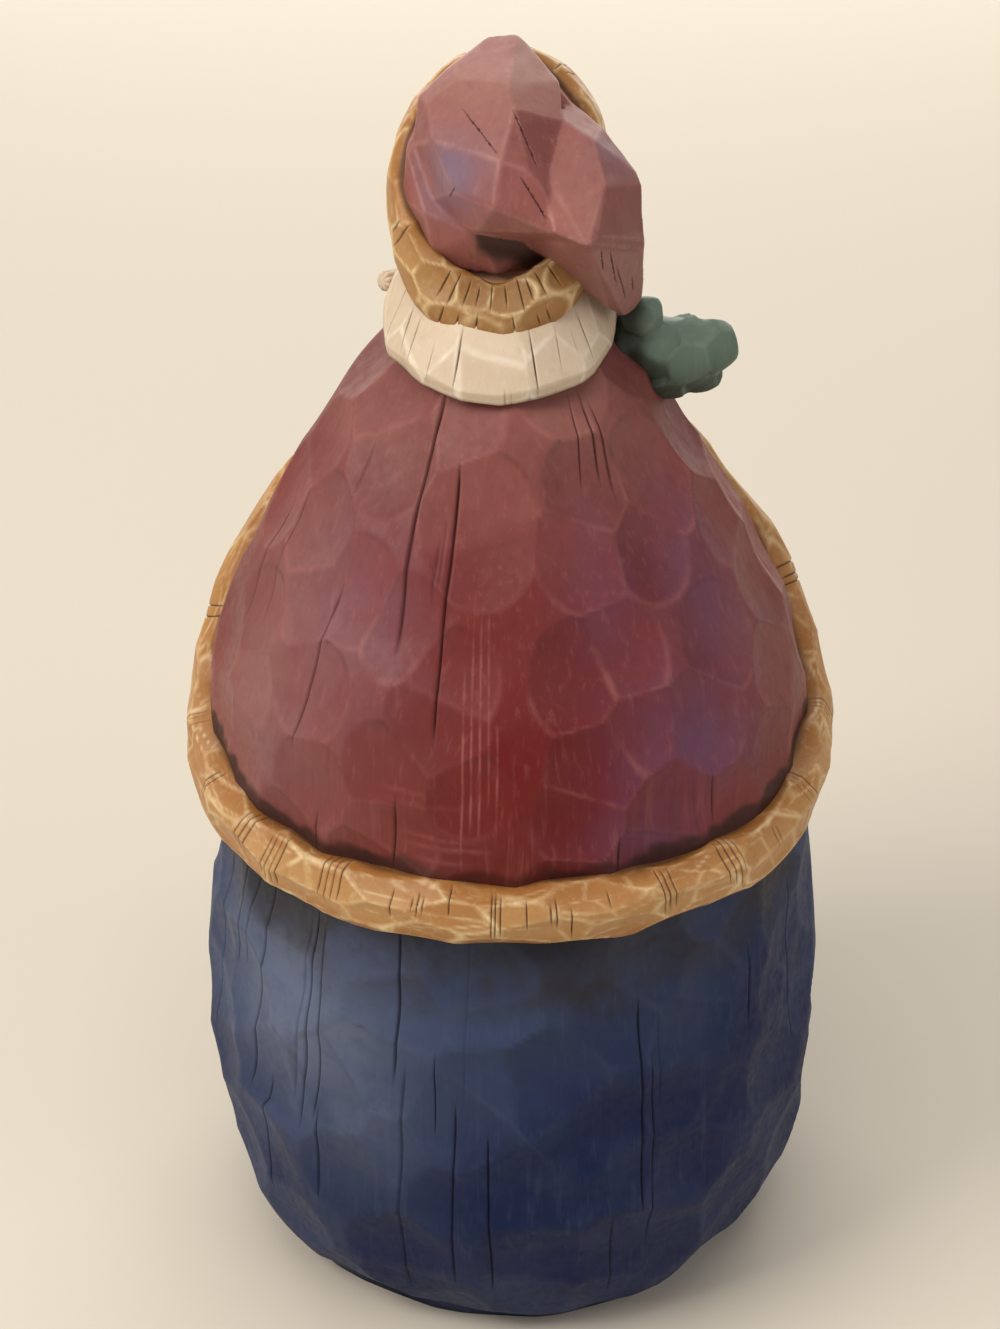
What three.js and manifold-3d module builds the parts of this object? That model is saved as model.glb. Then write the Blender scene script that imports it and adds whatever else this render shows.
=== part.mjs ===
// Santa figurine: a resin casting that looks carved from one block of wood.
// Millimetres, +Z up. It stands on z = 0 and faces -Y; angles round it start at its back, +Y,
// and grow towards +X. Trousers and belly, coat, trim, sleeves, beard, head and cap are one solid.

import * as THREE from 'three';
import { mergeVertices } from 'three/addons/utils/BufferGeometryUtils.js';
import Module from 'manifold-3d';

const wasm = await Module();
wasm.setup();

const { clamp, lerp, smoothstep, euclideanModulo } = THREE.MathUtils;
const degrees = Math.PI / 180;
const fullTurn = 2 * Math.PI;

// Driving dimensions: [height, radius] pairs of the two big turned forms.
const trousersOutline = [
  [0, 60.5], [2.5, 62], [8, 67.2], [18, 72.2], [32, 75.6], [50, 77.4], [70, 76.8], [90, 74.8],
  [110, 72.5], [132, 70.2],
];
const coatOutline = [
  [115, 73.4], [125, 73.0], [138, 71.5], [155, 70.1], [172, 65.6], [188, 57.6], [203, 49.7],
  [216, 41.6], [228, 33.5], [238, 25.4], [246, 19.0],
];
// The body's axis stands a little to the figure's right below and leans to its left at the neck.
const axisLean = [[100, -0.8], [140, 0], [180, 0.6], [228, 1.8]];
const coatThickness = 3.2;
const coatTop = 240;
const coatHollowTop = 190;
const bellyTop = 226;
const footHeight = 2.5;
// Heights between which the trousers' outline passes over into the belly's, under the coat.
const waist = [112, 140];

// Facets round the two big forms and up them.
const columns = 56;
const rowStep = 9;

// Height of the coat's edge, by degrees from the back: level behind, then up both front edges.
const hemRise = [
  [0, 131.5], [45, 132], [60, 134], [75, 137.5], [90, 141.5], [100, 149], [106, 156], [112, 166],
  [120, 178], [130, 190], [140, 200], [150, 209], [165, 220], [180, 226],
];
// The fur trim on that edge: its section as [out, across] corners, its size and its whittling.
const trimSection = [
  [6.4, 0.7], [4.9, 4.6], [0.4, 7.0], [-6, 4.9], [-8, 0], [-6, -4.9], [1.8, -7.0], [5.4, -3.9],
];
const trimSteps = 64;
const trimWhittle = { depth: 1.1, length: 3 };
// In front the trim sinks into the beard, over these degrees from the back.
const trimSink = { depth: 3, from: 138, to: 152 };

// Gouge marks: size of one cut, its depth, how hollow it is, how far it strays from its row and
// how much it leans. A cut's depth varies between the two shares of the full one.
const coatMarks = {
  width: 21, height: 17, depth: 1.2, hollow: 0.0105, stray: 0.55, slope: 0.12, seed: 3,
};
const trouserMarks = {
  width: 27, height: 13, depth: 1.1, hollow: 0.0085, stray: 0.6, slope: 0.045, seed: 11,
};
const uncutLevel = 0.4;
const cutShares = [0.65, 1.35];
const upwardLean = 0.2;
const fewestCuts = 5;

// The head stands a little to the figure's left of the body's axis. Its face is plain and calm:
// eyes halfway up the head, the nose ending a quarter of the head lower.
const headX = 2.4;
const head = { y: -2, z: 264, across: 19.6, deep: 22, tall: 28 };

// Hair and beard: lower and upper edge by degrees from the back, and radius by height at the
// back, at the sides and in front.
const hairLow = [
  [0, 233.6], [28, 235], [58, 238], [100, 238.6], [112, 236], [122, 230], [133, 215], [144, 199],
  [156, 185], [168, 177], [180, 174],
];
const hairHigh = [[0, 254], [50, 258], [80, 270], [104, 272], [120, 260], [135, 246], [180, 243]];
const hairBack = [[230, 36], [234.5, 32.6], [242, 28.0], [249, 23.2], [256, 17]];
const hairSide = [[218, 40], [230, 30], [235, 26.9], [243, 25.8], [249, 23.8], [256, 21.6], [273, 20]];
const beardFront = [
  [172, 68.5], [188, 63.4], [203, 56.6], [216, 48.6], [228, 40.2], [236, 33.4], [242, 27.2], [247, 21],
];
const mantle = {
  sides: 44, rings: 9, step: 4, underlap: 1, locks: 11, lockDepth: 1.7, lockRise: 4, lockFade: 0.6,
  side: [40, 80], front: [112, 145], inside: [214, 240],
};

// The fur brim is a tilted ring, low at the nape and high over the forehead. Its band lies flat
// behind the head and stands up elsewhere.
const brim = {
  y: 0.2, z: 272, across: 21.2, along: 29, tilt: 48, roll: 4, halfHeight: 6.3, halfThick: 3.1,
};
const brimSection = [
  [1, -0.2], [0.75, 0.6], [0.1, 1], [-0.9, 0.8], [-1.1, 0], [-0.9, -0.8], [0.15, -1], [0.8, -0.75],
];
const brimSteps = 28;
const brimLean = { nape: 75, forehead: 20, sharpness: 1.5 };
const brimWhittle = { depth: 0.8, length: 2 };

const crown = {
  y: 2.3, z: 278.6, across: 19.2, along: 26.2, above: 23, below: 12, lean: 0.09, sides: 11, rows: 8,
};
const crownWobble = 0.09;
const crownSeed = 41;

// Stations [x, y, z, radius] of the cap's tail: it folds over behind the crown and hangs down
// to the bobble.
const tailStations = [
  [2.9, 11, 275.3, 15], [0.2, 15.5, 283.8, 15.5], [-7.3, 19.5, 282.7, 16], [-14.2, 20.3, 277, 15],
  [-19, 16, 263.5, 9.8], [-26, 6, 246.8, 5.2],
];
// Lumps [x, y, z, radius] of the knitted bobble, which rests on the shoulder.
const bobbleLumps = [
  [-39.2, -1, 231.6, 8.2], [-44.6, -0.5, 233.4, 5.6], [-42.2, -2, 227.9, 5.2], [-34.6, -2, 228.6, 7.4],
  [-32.6, 0.5, 236.4, 6.4], [-29.6, 2.5, 243, 4], [-26, -1, 237, 7],
];

// The figure's own left arm in stations [x, y, z, radius]; the right one mirrors it.
const sleeve = [[42, -36, 190, 6.5], [39, -46, 181, 8.4], [33, -55, 172.5, 8.8], [28, -59, 168.5, 8.4]];
const cuff = [[30.5, -57.5, 170.3, 10], [25, -61.3, 166.6, 10.2]];
const mitten = { x: 17.5, y: -63.5, z: 162.5, across: 10, deep: 8, tall: 8 };
const thumb = { x: 18, y: -66.5, z: 169.5, across: 3.6, deep: 3.4, tall: 4.6 };
const moustache = [
  [1.5, -26, 253.5, 3.4], [8, -26.5, 250.5, 4.8], [15.5, -23.5, 246, 4.2], [22, -19, 242.5, 3],
  [26, -15.5, 243.5, 2.3],
];
const brow = [[3.5, -22.2, 274, 1.9], [8, -21.4, 275.5, 2.4], [12.5, -18.4, 273, 1.9]];
const boot = { x: 21, y: -63.5, z: 5, across: 17, deep: 14.5, tall: 13 };

// A fraction from 0 to 1 that is always the same for the same three numbers.
function chance(a, b, c) {
  const wave = Math.sin(a * 127.1 + b * 311.7 + c * 74.7) * 43758.5453;
  return wave - Math.floor(wave);
}

// A smooth curve through [x, y] pairs that never swings past them.
function smoothThrough(pairs) {
  const slopes = pairs.slice(1).map((p, i) => (p[1] - pairs[i][1]) / (p[0] - pairs[i][0]));
  const tangents = pairs.map((p, i) => {
    const before = slopes[Math.max(i - 1, 0)];
    const after = slopes[Math.min(i, slopes.length - 1)];
    return before * after <= 0 ? 0 : (2 * before * after) / (before + after);
  });
  return (x) => {
    const beyond = pairs.findIndex((p) => p[0] > x);
    const i = beyond < 0 ? pairs.length - 2 : Math.max(beyond - 1, 0);
    const span = pairs[i + 1][0] - pairs[i][0];
    const t = clamp((x - pairs[i][0]) / span, 0, 1);
    const rise = (pairs[i + 1][1] - pairs[i][1]) * t * t * (3 - 2 * t);
    const lead = t * (1 - t) * (1 - t) * tangents[i] * span;
    const trail = t * t * (t - 1) * tangents[i + 1] * span;
    return pairs[i][1] + rise + lead + trail;
  };
}

const coatRadius = smoothThrough(coatOutline);
const trousersRadius = smoothThrough(trousersOutline);
const axisX = smoothThrough(axisLean);
const hemHeight = smoothThrough(hemRise);
const hairLowHeight = smoothThrough(hairLow);
const hairHighHeight = smoothThrough(hairHigh);
const hairBackRadius = smoothThrough(hairBack);
const hairSideRadius = smoothThrough(hairSide);
const beardRadius = smoothThrough(beardFront);

// The belly keeps on up inside the coat, one coat's thickness below its surface.
function bodyRadius(z) {
  return lerp(trousersRadius(z), coatRadius(z) - coatThickness, smoothstep(z, ...waist));
}

function slopeOf(radius, z) {
  const reach = 0.5;
  return (radius(z + reach) - radius(z - reach)) / (2 * reach);
}

// Angle from the back on either side, 0 to 180 degrees.
function fromBack(angle) {
  return Math.abs(euclideanModulo(angle / degrees + 180, 360) - 180);
}

// A point at an angle from the back round an upright axis that passes through (x, 0).
function around(angle, radius, z, x = 0) {
  return new THREE.Vector3(x + radius * Math.sin(angle), radius * Math.cos(angle), z);
}

// How far a gouged surface lies from the plain one: the deepest of the cuts round about wins,
// so neighbouring cuts meet in a sharp ridge.
function gouged(angle, height, radius, marks) {
  const middle = Math.round(height / marks.height);
  let lowest = uncutLevel;
  for (let row = middle - 1; row <= middle + 1; row += 1) {
    const girth = fullTurn * radius(row * marks.height);
    const count = Math.max(fewestCuts, Math.round(girth / marks.width));
    const turn = fullTurn / count;
    const shift = chance(row, marks.seed, 5);
    const nearest = Math.round(angle / turn - shift);
    for (let column = nearest - 1; column <= nearest + 1; column += 1) {
      const key = euclideanModulo(column, count);
      const fate = (kind) => chance(key, row, marks.seed + kind);
      const centre = (column + shift + marks.stray * (fate(1) - 0.5)) * turn;
      const across = (angle - centre) * radius(height);
      const up = height - (row + marks.stray * (fate(2) - 0.5)) * marks.height;
      const bowl = marks.hollow * (across * across + up * up) - marks.depth * lerp(...cutShares, fate(3));
      const lean = marks.slope * ((fate(4) - 0.5) * across + (fate(6) - upwardLean) * up);
      lowest = Math.min(lowest, bowl + lean);
    }
  }
  return lowest;
}

// A point of a turned form, pushed along its surface's normal by the gouge marks.
function turnedPoint(angle, z, radius, marks) {
  const normal = new THREE.Vector2(1, -slopeOf(radius, z)).normalize();
  const push = marks ? gouged(angle, z, radius, marks) : 0;
  return around(angle, radius(z) + normal.x * push, z + normal.y * push, axisX(z));
}

// Moves every vertex of a three.js shape to place(u, v, position), by its texture coordinates.
function reshape(geometry, place) {
  const position = geometry.attributes.position;
  const uv = geometry.attributes.uv;
  for (let i = 0; i < position.count; i += 1) {
    const old = new THREE.Vector3().fromBufferAttribute(position, i);
    const moved = place(uv.getX(i), uv.getY(i), old);
    position.setXYZ(i, moved.x, moved.y, moved.z);
  }
  return geometry;
}

// Splits each four-sided facet along whichever of its diagonals stands further from the axis, so
// that the ridges between cuts run on from facet to facet.
function splitAlongRidges(geometry) {
  const index = geometry.index.array;
  const corner = (i) => new THREE.Vector3().fromBufferAttribute(geometry.attributes.position, i);
  const reach = (i, j) => corner(i).add(corner(j)).setZ(0).length();
  for (let i = 0; i < index.length; i += 6) {
    const [a, b, d, c] = index.slice(i, i + 4);
    if (reach(a, c) > reach(b, d)) {
      index.set([a, b, c, a, c, d], i);
    }
  }
  return geometry;
}

// A closed barrel whose rings run from v = 0 to v = 1, with a point at the middle of each end.
function barrel(sides, rings, place, lowPoint, highPoint) {
  const wall = Array.from({ length: rings + 1 }, (_, i) => new THREE.Vector2(1, i / rings));
  const profile = [new THREE.Vector2(0, 0), ...wall, new THREE.Vector2(0, 1)];
  return reshape(new THREE.LatheGeometry(profile, sides), (u, v, old) => {
    const onAxis = Math.hypot(old.x, old.z) < 0.5;
    if (onAxis) {
      return old.y < 0.5 ? lowPoint : highPoint;
    }
    return place((u % 1) * fullTurn, old.y);
  });
}

// A closed ring with a section of [out, across] corners set up by frameAt(angle).
function sectionRing(section, steps, whittle, frameAt) {
  return reshape(new THREE.TorusGeometry(2, 1, section.length, steps), (u, v) => {
    const step = Math.round(u * steps) % steps;
    const corner = Math.round(v * section.length) % section.length;
    const frame = frameAt((step / steps) * fullTurn);
    const [out, across] = section[corner];
    const chip = chance(Math.floor((step + corner) / whittle.length), corner, steps) - 0.5;
    return frame.at
      .addScaledVector(frame.out, out * frame.outScale + (out > 0 ? whittle.depth * chip : 0))
      .addScaledVector(frame.across, across * frame.acrossScale);
  });
}

// A ball with chosen half sizes, faceted by its few sides; wobble sets how uneven it is.
function lump({ x, y, z, across, deep, tall }, sides, rows, wobble = 0) {
  return reshape(new THREE.SphereGeometry(1, sides, rows), (u, v, old) => {
    const pole = v === 0 || v === 1;
    const column = pole ? 0 : Math.round(u * sides) % sides;
    const swell = 1 + wobble * (chance(column, Math.round(v * rows), sides) - 0.5);
    return new THREE.Vector3(x + across * swell * old.x, y + deep * swell * old.z, z + tall * swell * old.y);
  });
}

function ball([x, y, z, radius], sides, rows, wobble) {
  return lump({ x, y, z, across: radius, deep: radius, tall: radius }, sides, rows, wobble);
}

// A tube of changing thickness through [x, y, z, radius] stations, with blunt ends, in one
// length or cut square across into several, for a bend tighter than the tube is thick.
function limb(stations, sides, rings, lengths = 1) {
  const bluntness = 0.62;
  const nose = 0.35;
  const path = new THREE.CatmullRomCurve3(stations.map(([x, y, z]) => new THREE.Vector3(x, y, z)));
  const thickness = smoothThrough(stations.map((s, i) => [i / (stations.length - 1), s[3]]));
  const tipAt = (t, reach) => path.getPoint(t).addScaledVector(path.getTangent(t), reach * thickness(t));
  return Array.from({ length: lengths }, (_, i) => barrel(sides, rings / lengths, (angle, v) => {
    const t = (i + v) / lengths;
    const ahead = path.getTangent(t);
    const side = new THREE.Vector3(0, 0, 1).cross(ahead).normalize();
    const up = new THREE.Vector3().crossVectors(ahead, side);
    const r = thickness(t) * (t === 0 || t === 1 ? bluntness : 1);
    return path.getPoint(t)
      .addScaledVector(side, r * Math.cos(angle))
      .addScaledVector(up, r * Math.sin(angle));
  }, tipAt(i / lengths, -nose), tipAt((i + 1) / lengths, nose)));
}

// The same shape on the figure's other side, mirrored in the plane x = middle.
function mirrored(geometry, middle) {
  const twin = geometry.clone();
  twin.translate(-middle, 0, 0);
  twin.scale(-1, 1, 1);
  twin.translate(middle, 0, 0);
  return twin;
}

function bothSides(geometry, middle) {
  return [geometry, mirrored(geometry, middle)];
}

// A three.js shape as a solid; one whose faces point inwards is turned right side out.
function toSolid(geometry) {
  const bare = geometry.clone();
  bare.deleteAttribute('normal');
  bare.deleteAttribute('uv');
  const merged = mergeVertices(bare);
  const corners = merged.index.array;
  const faces = [];
  for (let i = 0; i < corners.length; i += 3) {
    const [a, b, c] = corners.slice(i, i + 3);
    if (a !== b && b !== c && a !== c) {
      faces.push([a, b, c]);
    }
  }
  const build = (triangles) => new wasm.Manifold(new wasm.Mesh({
    numProp: 3,
    vertProperties: new Float32Array(merged.attributes.position.array),
    triVerts: new Uint32Array(triangles.flat()),
  }));
  const solid = build(faces);
  return solid.volume() > 0 ? solid : build(faces.map(([a, b, c]) => [a, c, b]));
}

function toGeometry(solid) {
  const mesh = solid.getMesh();
  const geometry = new THREE.BufferGeometry();
  geometry.setAttribute('position', new THREE.BufferAttribute(new Float32Array(mesh.vertProperties), 3));
  geometry.setIndex(new THREE.BufferAttribute(new Uint32Array(mesh.triVerts), 1));
  geometry.computeVertexNormals();
  return geometry;
}

function trousersAndBelly() {
  const rings = Math.round(bellyTop / rowStep);
  return splitAlongRidges(barrel(columns, rings, (angle, v) => {
    if (v === 0) {
      const chip = 0.5 * gouged(angle, footHeight, bodyRadius, trouserMarks);
      return around(angle, trousersRadius(0) + chip, 0);
    }
    const z = lerp(footHeight, bellyTop, (v * rings - 1) / (rings - 1));
    return turnedPoint(angle, z, bodyRadius, trouserMarks);
  }, around(0, 0, 0), around(0, 0, bellyTop)));
}

function coat() {
  const rings = Math.round((coatTop - hemHeight(0)) / rowStep);
  return splitAlongRidges(barrel(columns, rings, (angle, v) => {
    const z = lerp(hemHeight(fromBack(angle)), coatTop, v);
    return turnedPoint(angle, z, coatRadius, coatMarks);
  }, around(0, 0, coatHollowTop), around(0, 0, coatTop)));
}

// Fur trim along the coat's edge.
function trim() {
  const edgePoint = (angle) => turnedPoint(angle, hemHeight(fromBack(angle)), coatRadius, null);
  const reach = 0.01;
  return sectionRing(trimSection, trimSteps, trimWhittle, (angle) => {
    const at = edgePoint(angle);
    const along = edgePoint(angle + reach).sub(edgePoint(angle - reach)).normalize();
    const out = around(angle, 1, -slopeOf(coatRadius, at.z)).normalize();
    at.addScaledVector(out, -trimSink.depth * smoothstep(fromBack(angle), trimSink.from, trimSink.to));
    const across = new THREE.Vector3().crossVectors(along, out).normalize();
    return { at, out, across, outScale: 1, acrossScale: 1 };
  });
}

// Hair and beard as one mantle round the neck, with a stepped lower edge and carved locks.
function hairAndBeard() {
  return barrel(mantle.sides, mantle.rings, (angle, v) => {
    const back = fromBack(angle);
    const side = smoothstep(back, ...mantle.side);
    const front = smoothstep(back, ...mantle.front);
    const lock = front * (1 - Math.abs(Math.sin((back - 180) * mantle.locks * degrees)));
    const low = hairLowHeight(back) + mantle.lockRise * lock;
    if (v === 0) {
      return around(angle, coatRadius(low) - mantle.step, low - mantle.underlap, headX);
    }
    const t = (v * mantle.rings - 1) / (mantle.rings - 1);
    const z = lerp(low, hairHighHeight(back), t);
    const plain = lerp(lerp(hairBackRadius(z), hairSideRadius(z), side), beardRadius(z), front);
    return around(angle, plain - mantle.lockDepth * lock * (1 - mantle.lockFade * t), z, headX);
  }, ...mantle.inside.map((z) => around(0, 0, z, headX)));
}

// Directions of the brim's ring: across the head, from nape to forehead, and out of the ring.
function brimAxes() {
  const across = new THREE.Vector3(Math.cos(brim.roll * degrees), 0, -Math.sin(brim.roll * degrees));
  const along = new THREE.Vector3(0, -Math.cos(brim.tilt * degrees), Math.sin(brim.tilt * degrees));
  const out = new THREE.Vector3().crossVectors(along, across).normalize();
  return { across, along, out };
}

function furBrim() {
  const axes = brimAxes();
  return sectionRing(brimSection, brimSteps, brimWhittle, (angle) => {
    const towardNape = Math.max(0, -Math.sin(angle));
    const towardForehead = Math.max(0, Math.sin(angle));
    const napeShare = towardNape ** brimLean.sharpness;
    const lean = degrees * (brimLean.nape * napeShare + brimLean.forehead * towardForehead);
    const radial = new THREE.Vector3()
      .addScaledVector(axes.across, Math.cos(angle))
      .addScaledVector(axes.along, Math.sin(angle));
    const at = new THREE.Vector3(headX, brim.y, brim.z)
      .addScaledVector(axes.across, brim.across * Math.cos(angle))
      .addScaledVector(axes.along, brim.along * Math.sin(angle));
    const out = radial.clone().multiplyScalar(Math.cos(lean)).addScaledVector(axes.out, Math.sin(lean));
    const across = axes.out.clone().multiplyScalar(Math.cos(lean)).addScaledVector(radial, -Math.sin(lean));
    return { at, out, across, outScale: brim.halfThick, acrossScale: brim.halfHeight };
  });
}

function capCrown() {
  const axes = brimAxes();
  const centre = new THREE.Vector3(headX, crown.y, crown.z);
  return reshape(new THREE.SphereGeometry(1, crown.sides, crown.rows), (u, v, old) => {
    const pole = v === 0 || v === 1;
    const column = pole ? 0 : Math.round(u * crown.sides) % crown.sides;
    const swell = 1 + crownWobble * (chance(column, Math.round(v * crown.rows), crownSeed) - 0.5);
    return centre.clone()
      .addScaledVector(axes.across, crown.across * swell * old.x - crown.lean * crown.along * old.z)
      .addScaledVector(axes.along, crown.along * swell * old.z)
      .addScaledVector(axes.out, (old.y > 0 ? crown.above : crown.below) * swell * old.y);
  });
}

function face() {
  const nose = { x: headX, y: -25.2, z: 259.5, across: 4.2, deep: 4.6, tall: 4.4 };
  const bridge = { x: headX, y: -22.3, z: 265, across: 2.6, deep: 3.2, tall: 6 };
  const cheek = { x: headX + 9, y: -17.5, z: 258.5, across: 6.8, deep: 5.5, tall: 5.8 };
  const eye = { x: headX + 6.8, y: -20.6, z: 267.5, across: 3.6, deep: 2.3, tall: 2.3 };
  return [
    lump({ x: headX, ...head }, 16, 11),
    lump(nose, 8, 6),
    lump(bridge, 6, 6),
    ...bothSides(lump(cheek, 8, 6), headX),
    ...bothSides(lump(eye, 8, 6), headX),
    ...limb(fromHead(brow), 6, 4).flatMap((tube) => bothSides(tube, headX)),
    ...limb(fromHead(moustache), 6, 8).flatMap((tube) => bothSides(tube, headX)),
  ];
}

// Stations given from the head's own middle plane, moved to where the head stands.
function fromHead(stations) {
  return stations.map(([x, y, z, r]) => [x + headX, y, z, r]);
}

function arms() {
  return [
    ...limb(sleeve, 8, 5),
    ...limb(cuff, 9, 2),
    lump(mitten, 9, 6, 0.05),
    lump(thumb, 6, 5),
  ].flatMap((shape) => bothSides(shape, 0));
}

// A slab under the floor, which cuts the toes of the boots off flat.
function belowFloor() {
  const width = 300;
  const depth = 60;
  const slab = new THREE.BoxGeometry(width, width, depth);
  slab.translate(0, 0, -depth / 2);
  return slab;
}

const forms = [
  trousersAndBelly(),
  coat(),
  trim(),
  hairAndBeard(),
  ...face(),
  furBrim(),
  capCrown(),
  ...limb(tailStations, 8, 7, 7),
  ...bobbleLumps.map((bobble) => ball(bobble, 8, 5, 0.12)),
  ...arms(),
  ...bothSides(lump(boot, 12, 8, 0.04), 0),
];
const carved = forms.map(toSolid).reduce((sum, form) => sum.add(form)).subtract(toSolid(belowFloor()));

const paintedResin = new THREE.MeshStandardMaterial({ color: 0x7d3c3c, roughness: 0.55, metalness: 0 });
const figurine = new THREE.Mesh(toGeometry(carved), paintedResin);
figurine.name = 'santa_figurine';

const model = new THREE.Group();
model.add(figurine);

export default model;
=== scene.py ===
import math

import bmesh
import bpy
import numpy as np
from mathutils import Matrix, Vector
from mathutils.bvhtree import BVHTree


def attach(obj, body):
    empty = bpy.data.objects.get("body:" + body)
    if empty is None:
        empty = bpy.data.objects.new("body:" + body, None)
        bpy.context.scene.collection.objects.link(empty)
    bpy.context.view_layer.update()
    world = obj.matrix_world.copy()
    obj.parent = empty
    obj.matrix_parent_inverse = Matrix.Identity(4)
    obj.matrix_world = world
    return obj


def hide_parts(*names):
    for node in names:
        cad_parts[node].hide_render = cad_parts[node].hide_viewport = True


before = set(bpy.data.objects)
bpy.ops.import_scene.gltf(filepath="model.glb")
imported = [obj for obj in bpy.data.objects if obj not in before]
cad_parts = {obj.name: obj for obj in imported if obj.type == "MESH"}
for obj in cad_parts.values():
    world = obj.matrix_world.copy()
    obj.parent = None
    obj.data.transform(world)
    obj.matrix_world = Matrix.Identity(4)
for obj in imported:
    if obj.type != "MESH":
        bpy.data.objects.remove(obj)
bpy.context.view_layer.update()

mm = 0.001
castNode = "santa_figurine"
fullTurn = 2 * math.pi
sides = ((-1, "right"), (1, "left"))

# Every size below is in millimetres and every direction in degrees from the figure's back,
# growing towards +X. The forms are those of the casting, with the carving drawn finer.


# A smooth curve through [x, y] pairs that never overshoots them
def smoothCurve(pairs):
    xs, ys = np.array(pairs, float).T
    slopes = np.diff(ys) / np.diff(xs)
    before = np.concatenate([slopes[:1], slopes])
    after = np.concatenate([slopes, slopes[-1:]])
    total = np.where(before + after == 0, 1, before + after)
    tangents = np.where(before * after > 0, 2 * before * after / total, 0)

    def at(x):
        i = np.clip(np.searchsorted(xs, x, side="right") - 1, 0, len(xs) - 2)
        span = xs[i + 1] - xs[i]
        t = np.clip((x - xs[i]) / span, 0, 1)
        rise = (ys[i + 1] - ys[i]) * t * t * (3 - 2 * t)
        leaving = t * (1 - t) ** 2 * tangents[i] * span
        arriving = t * t * (t - 1) * tangents[i + 1] * span
        return ys[i] + rise + leaving + arriving

    return at


def smoothStep(x, low, high):
    t = np.clip((x - low) / (high - low), 0, 1)
    return t * t * (3 - 2 * t)


def lerp(a, b, t):
    return a + (b - a) * t


# The same fraction from 0 to 1 for the same three numbers, as in the casting's own source.
def chance(a, b, c):
    wave = np.sin(a * 127.1 + b * 311.7 + c * 74.7) * 43758.5453
    return wave - np.floor(wave)


def fromBack(angle):
    return np.abs((np.degrees(angle) + 180) % 360 - 180)


def around(angle, radius, z, x=0.0):
    return np.stack([x + radius * np.sin(angle), radius * np.cos(angle), z + 0 * angle], 1)


def slopeOf(curve, z):
    return curve(z + 0.5) - curve(z - 0.5)


# Slow, soft variation over a surface, from a few crossing waves
def softWaves(points, size, seed):
    p = points * (fullTurn / size)
    total = np.zeros(len(points))
    for i in range(5):
        way = np.array([chance(i, k, seed) - 0.5 for k in (1, 2, 3)])
        way *= (0.7 + 0.6 * i / 4) / np.linalg.norm(way)
        total += np.sin(p @ way + fullTurn * chance(i, 4, seed))
    return total / 5


def meshFrom(form, name):
    mesh = bpy.data.meshes.new(name)
    form.to_mesh(mesh)
    form.free()
    return mesh


def placePoints(mesh, points):
    mesh.vertices.foreach_set("co", (points * mm).astype(np.float32).ravel())


# A sheet of quads from one grid, wrapped into place by a function and welded along its seam
def wrappedSheet(name, columns, rows, place):
    form = bmesh.new()
    bmesh.ops.create_grid(form, x_segments=columns, y_segments=rows, size=0.5)
    mesh = meshFrom(form, name)
    flat = np.empty(len(mesh.vertices) * 3, np.float32)
    mesh.vertices.foreach_get("co", flat)
    u = np.round((flat[0::3] + 0.5) * columns) % columns / columns
    v = np.round((flat[1::3] + 0.5) * rows) / rows
    points, paint = place(np.float64(u), np.float64(v))
    placePoints(mesh, points)
    addPaint(mesh, paint)
    weld(mesh)
    return makeObject(name, mesh)


def addPaint(mesh, paint):
    for key, values in paint.items():
        layer = mesh.attributes.new(key, "FLOAT", "POINT")
        layer.data.foreach_set("value", np.clip(values, 0, 1).astype(np.float32))


# Closes the sheet's seam and its poles, where the points lie on each other
def weld(mesh, within=0.004):
    form = bmesh.new()
    form.from_mesh(mesh)
    bmesh.ops.remove_doubles(form, verts=form.verts[:], dist=within * mm)
    bmesh.ops.recalc_face_normals(form, faces=form.faces[:])
    for face in form.faces:
        face.smooth = True
    form.to_mesh(mesh)
    form.free()


def makeObject(name, mesh):
    piece = bpy.data.objects.new(name, mesh)
    bpy.context.collection.objects.link(piece)
    return piece


def pointsOf(mesh):
    flat = np.empty(len(mesh.vertices) * 3, np.float32)
    mesh.vertices.foreach_get("co", flat)
    return np.float64(flat.reshape(-1, 3)) / mm


def normalsOf(mesh):
    flat = np.empty(len(mesh.vertices) * 3, np.float32)
    mesh.vertex_normals.foreach_get("vector", flat)
    return np.float64(flat.reshape(-1, 3))


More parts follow.
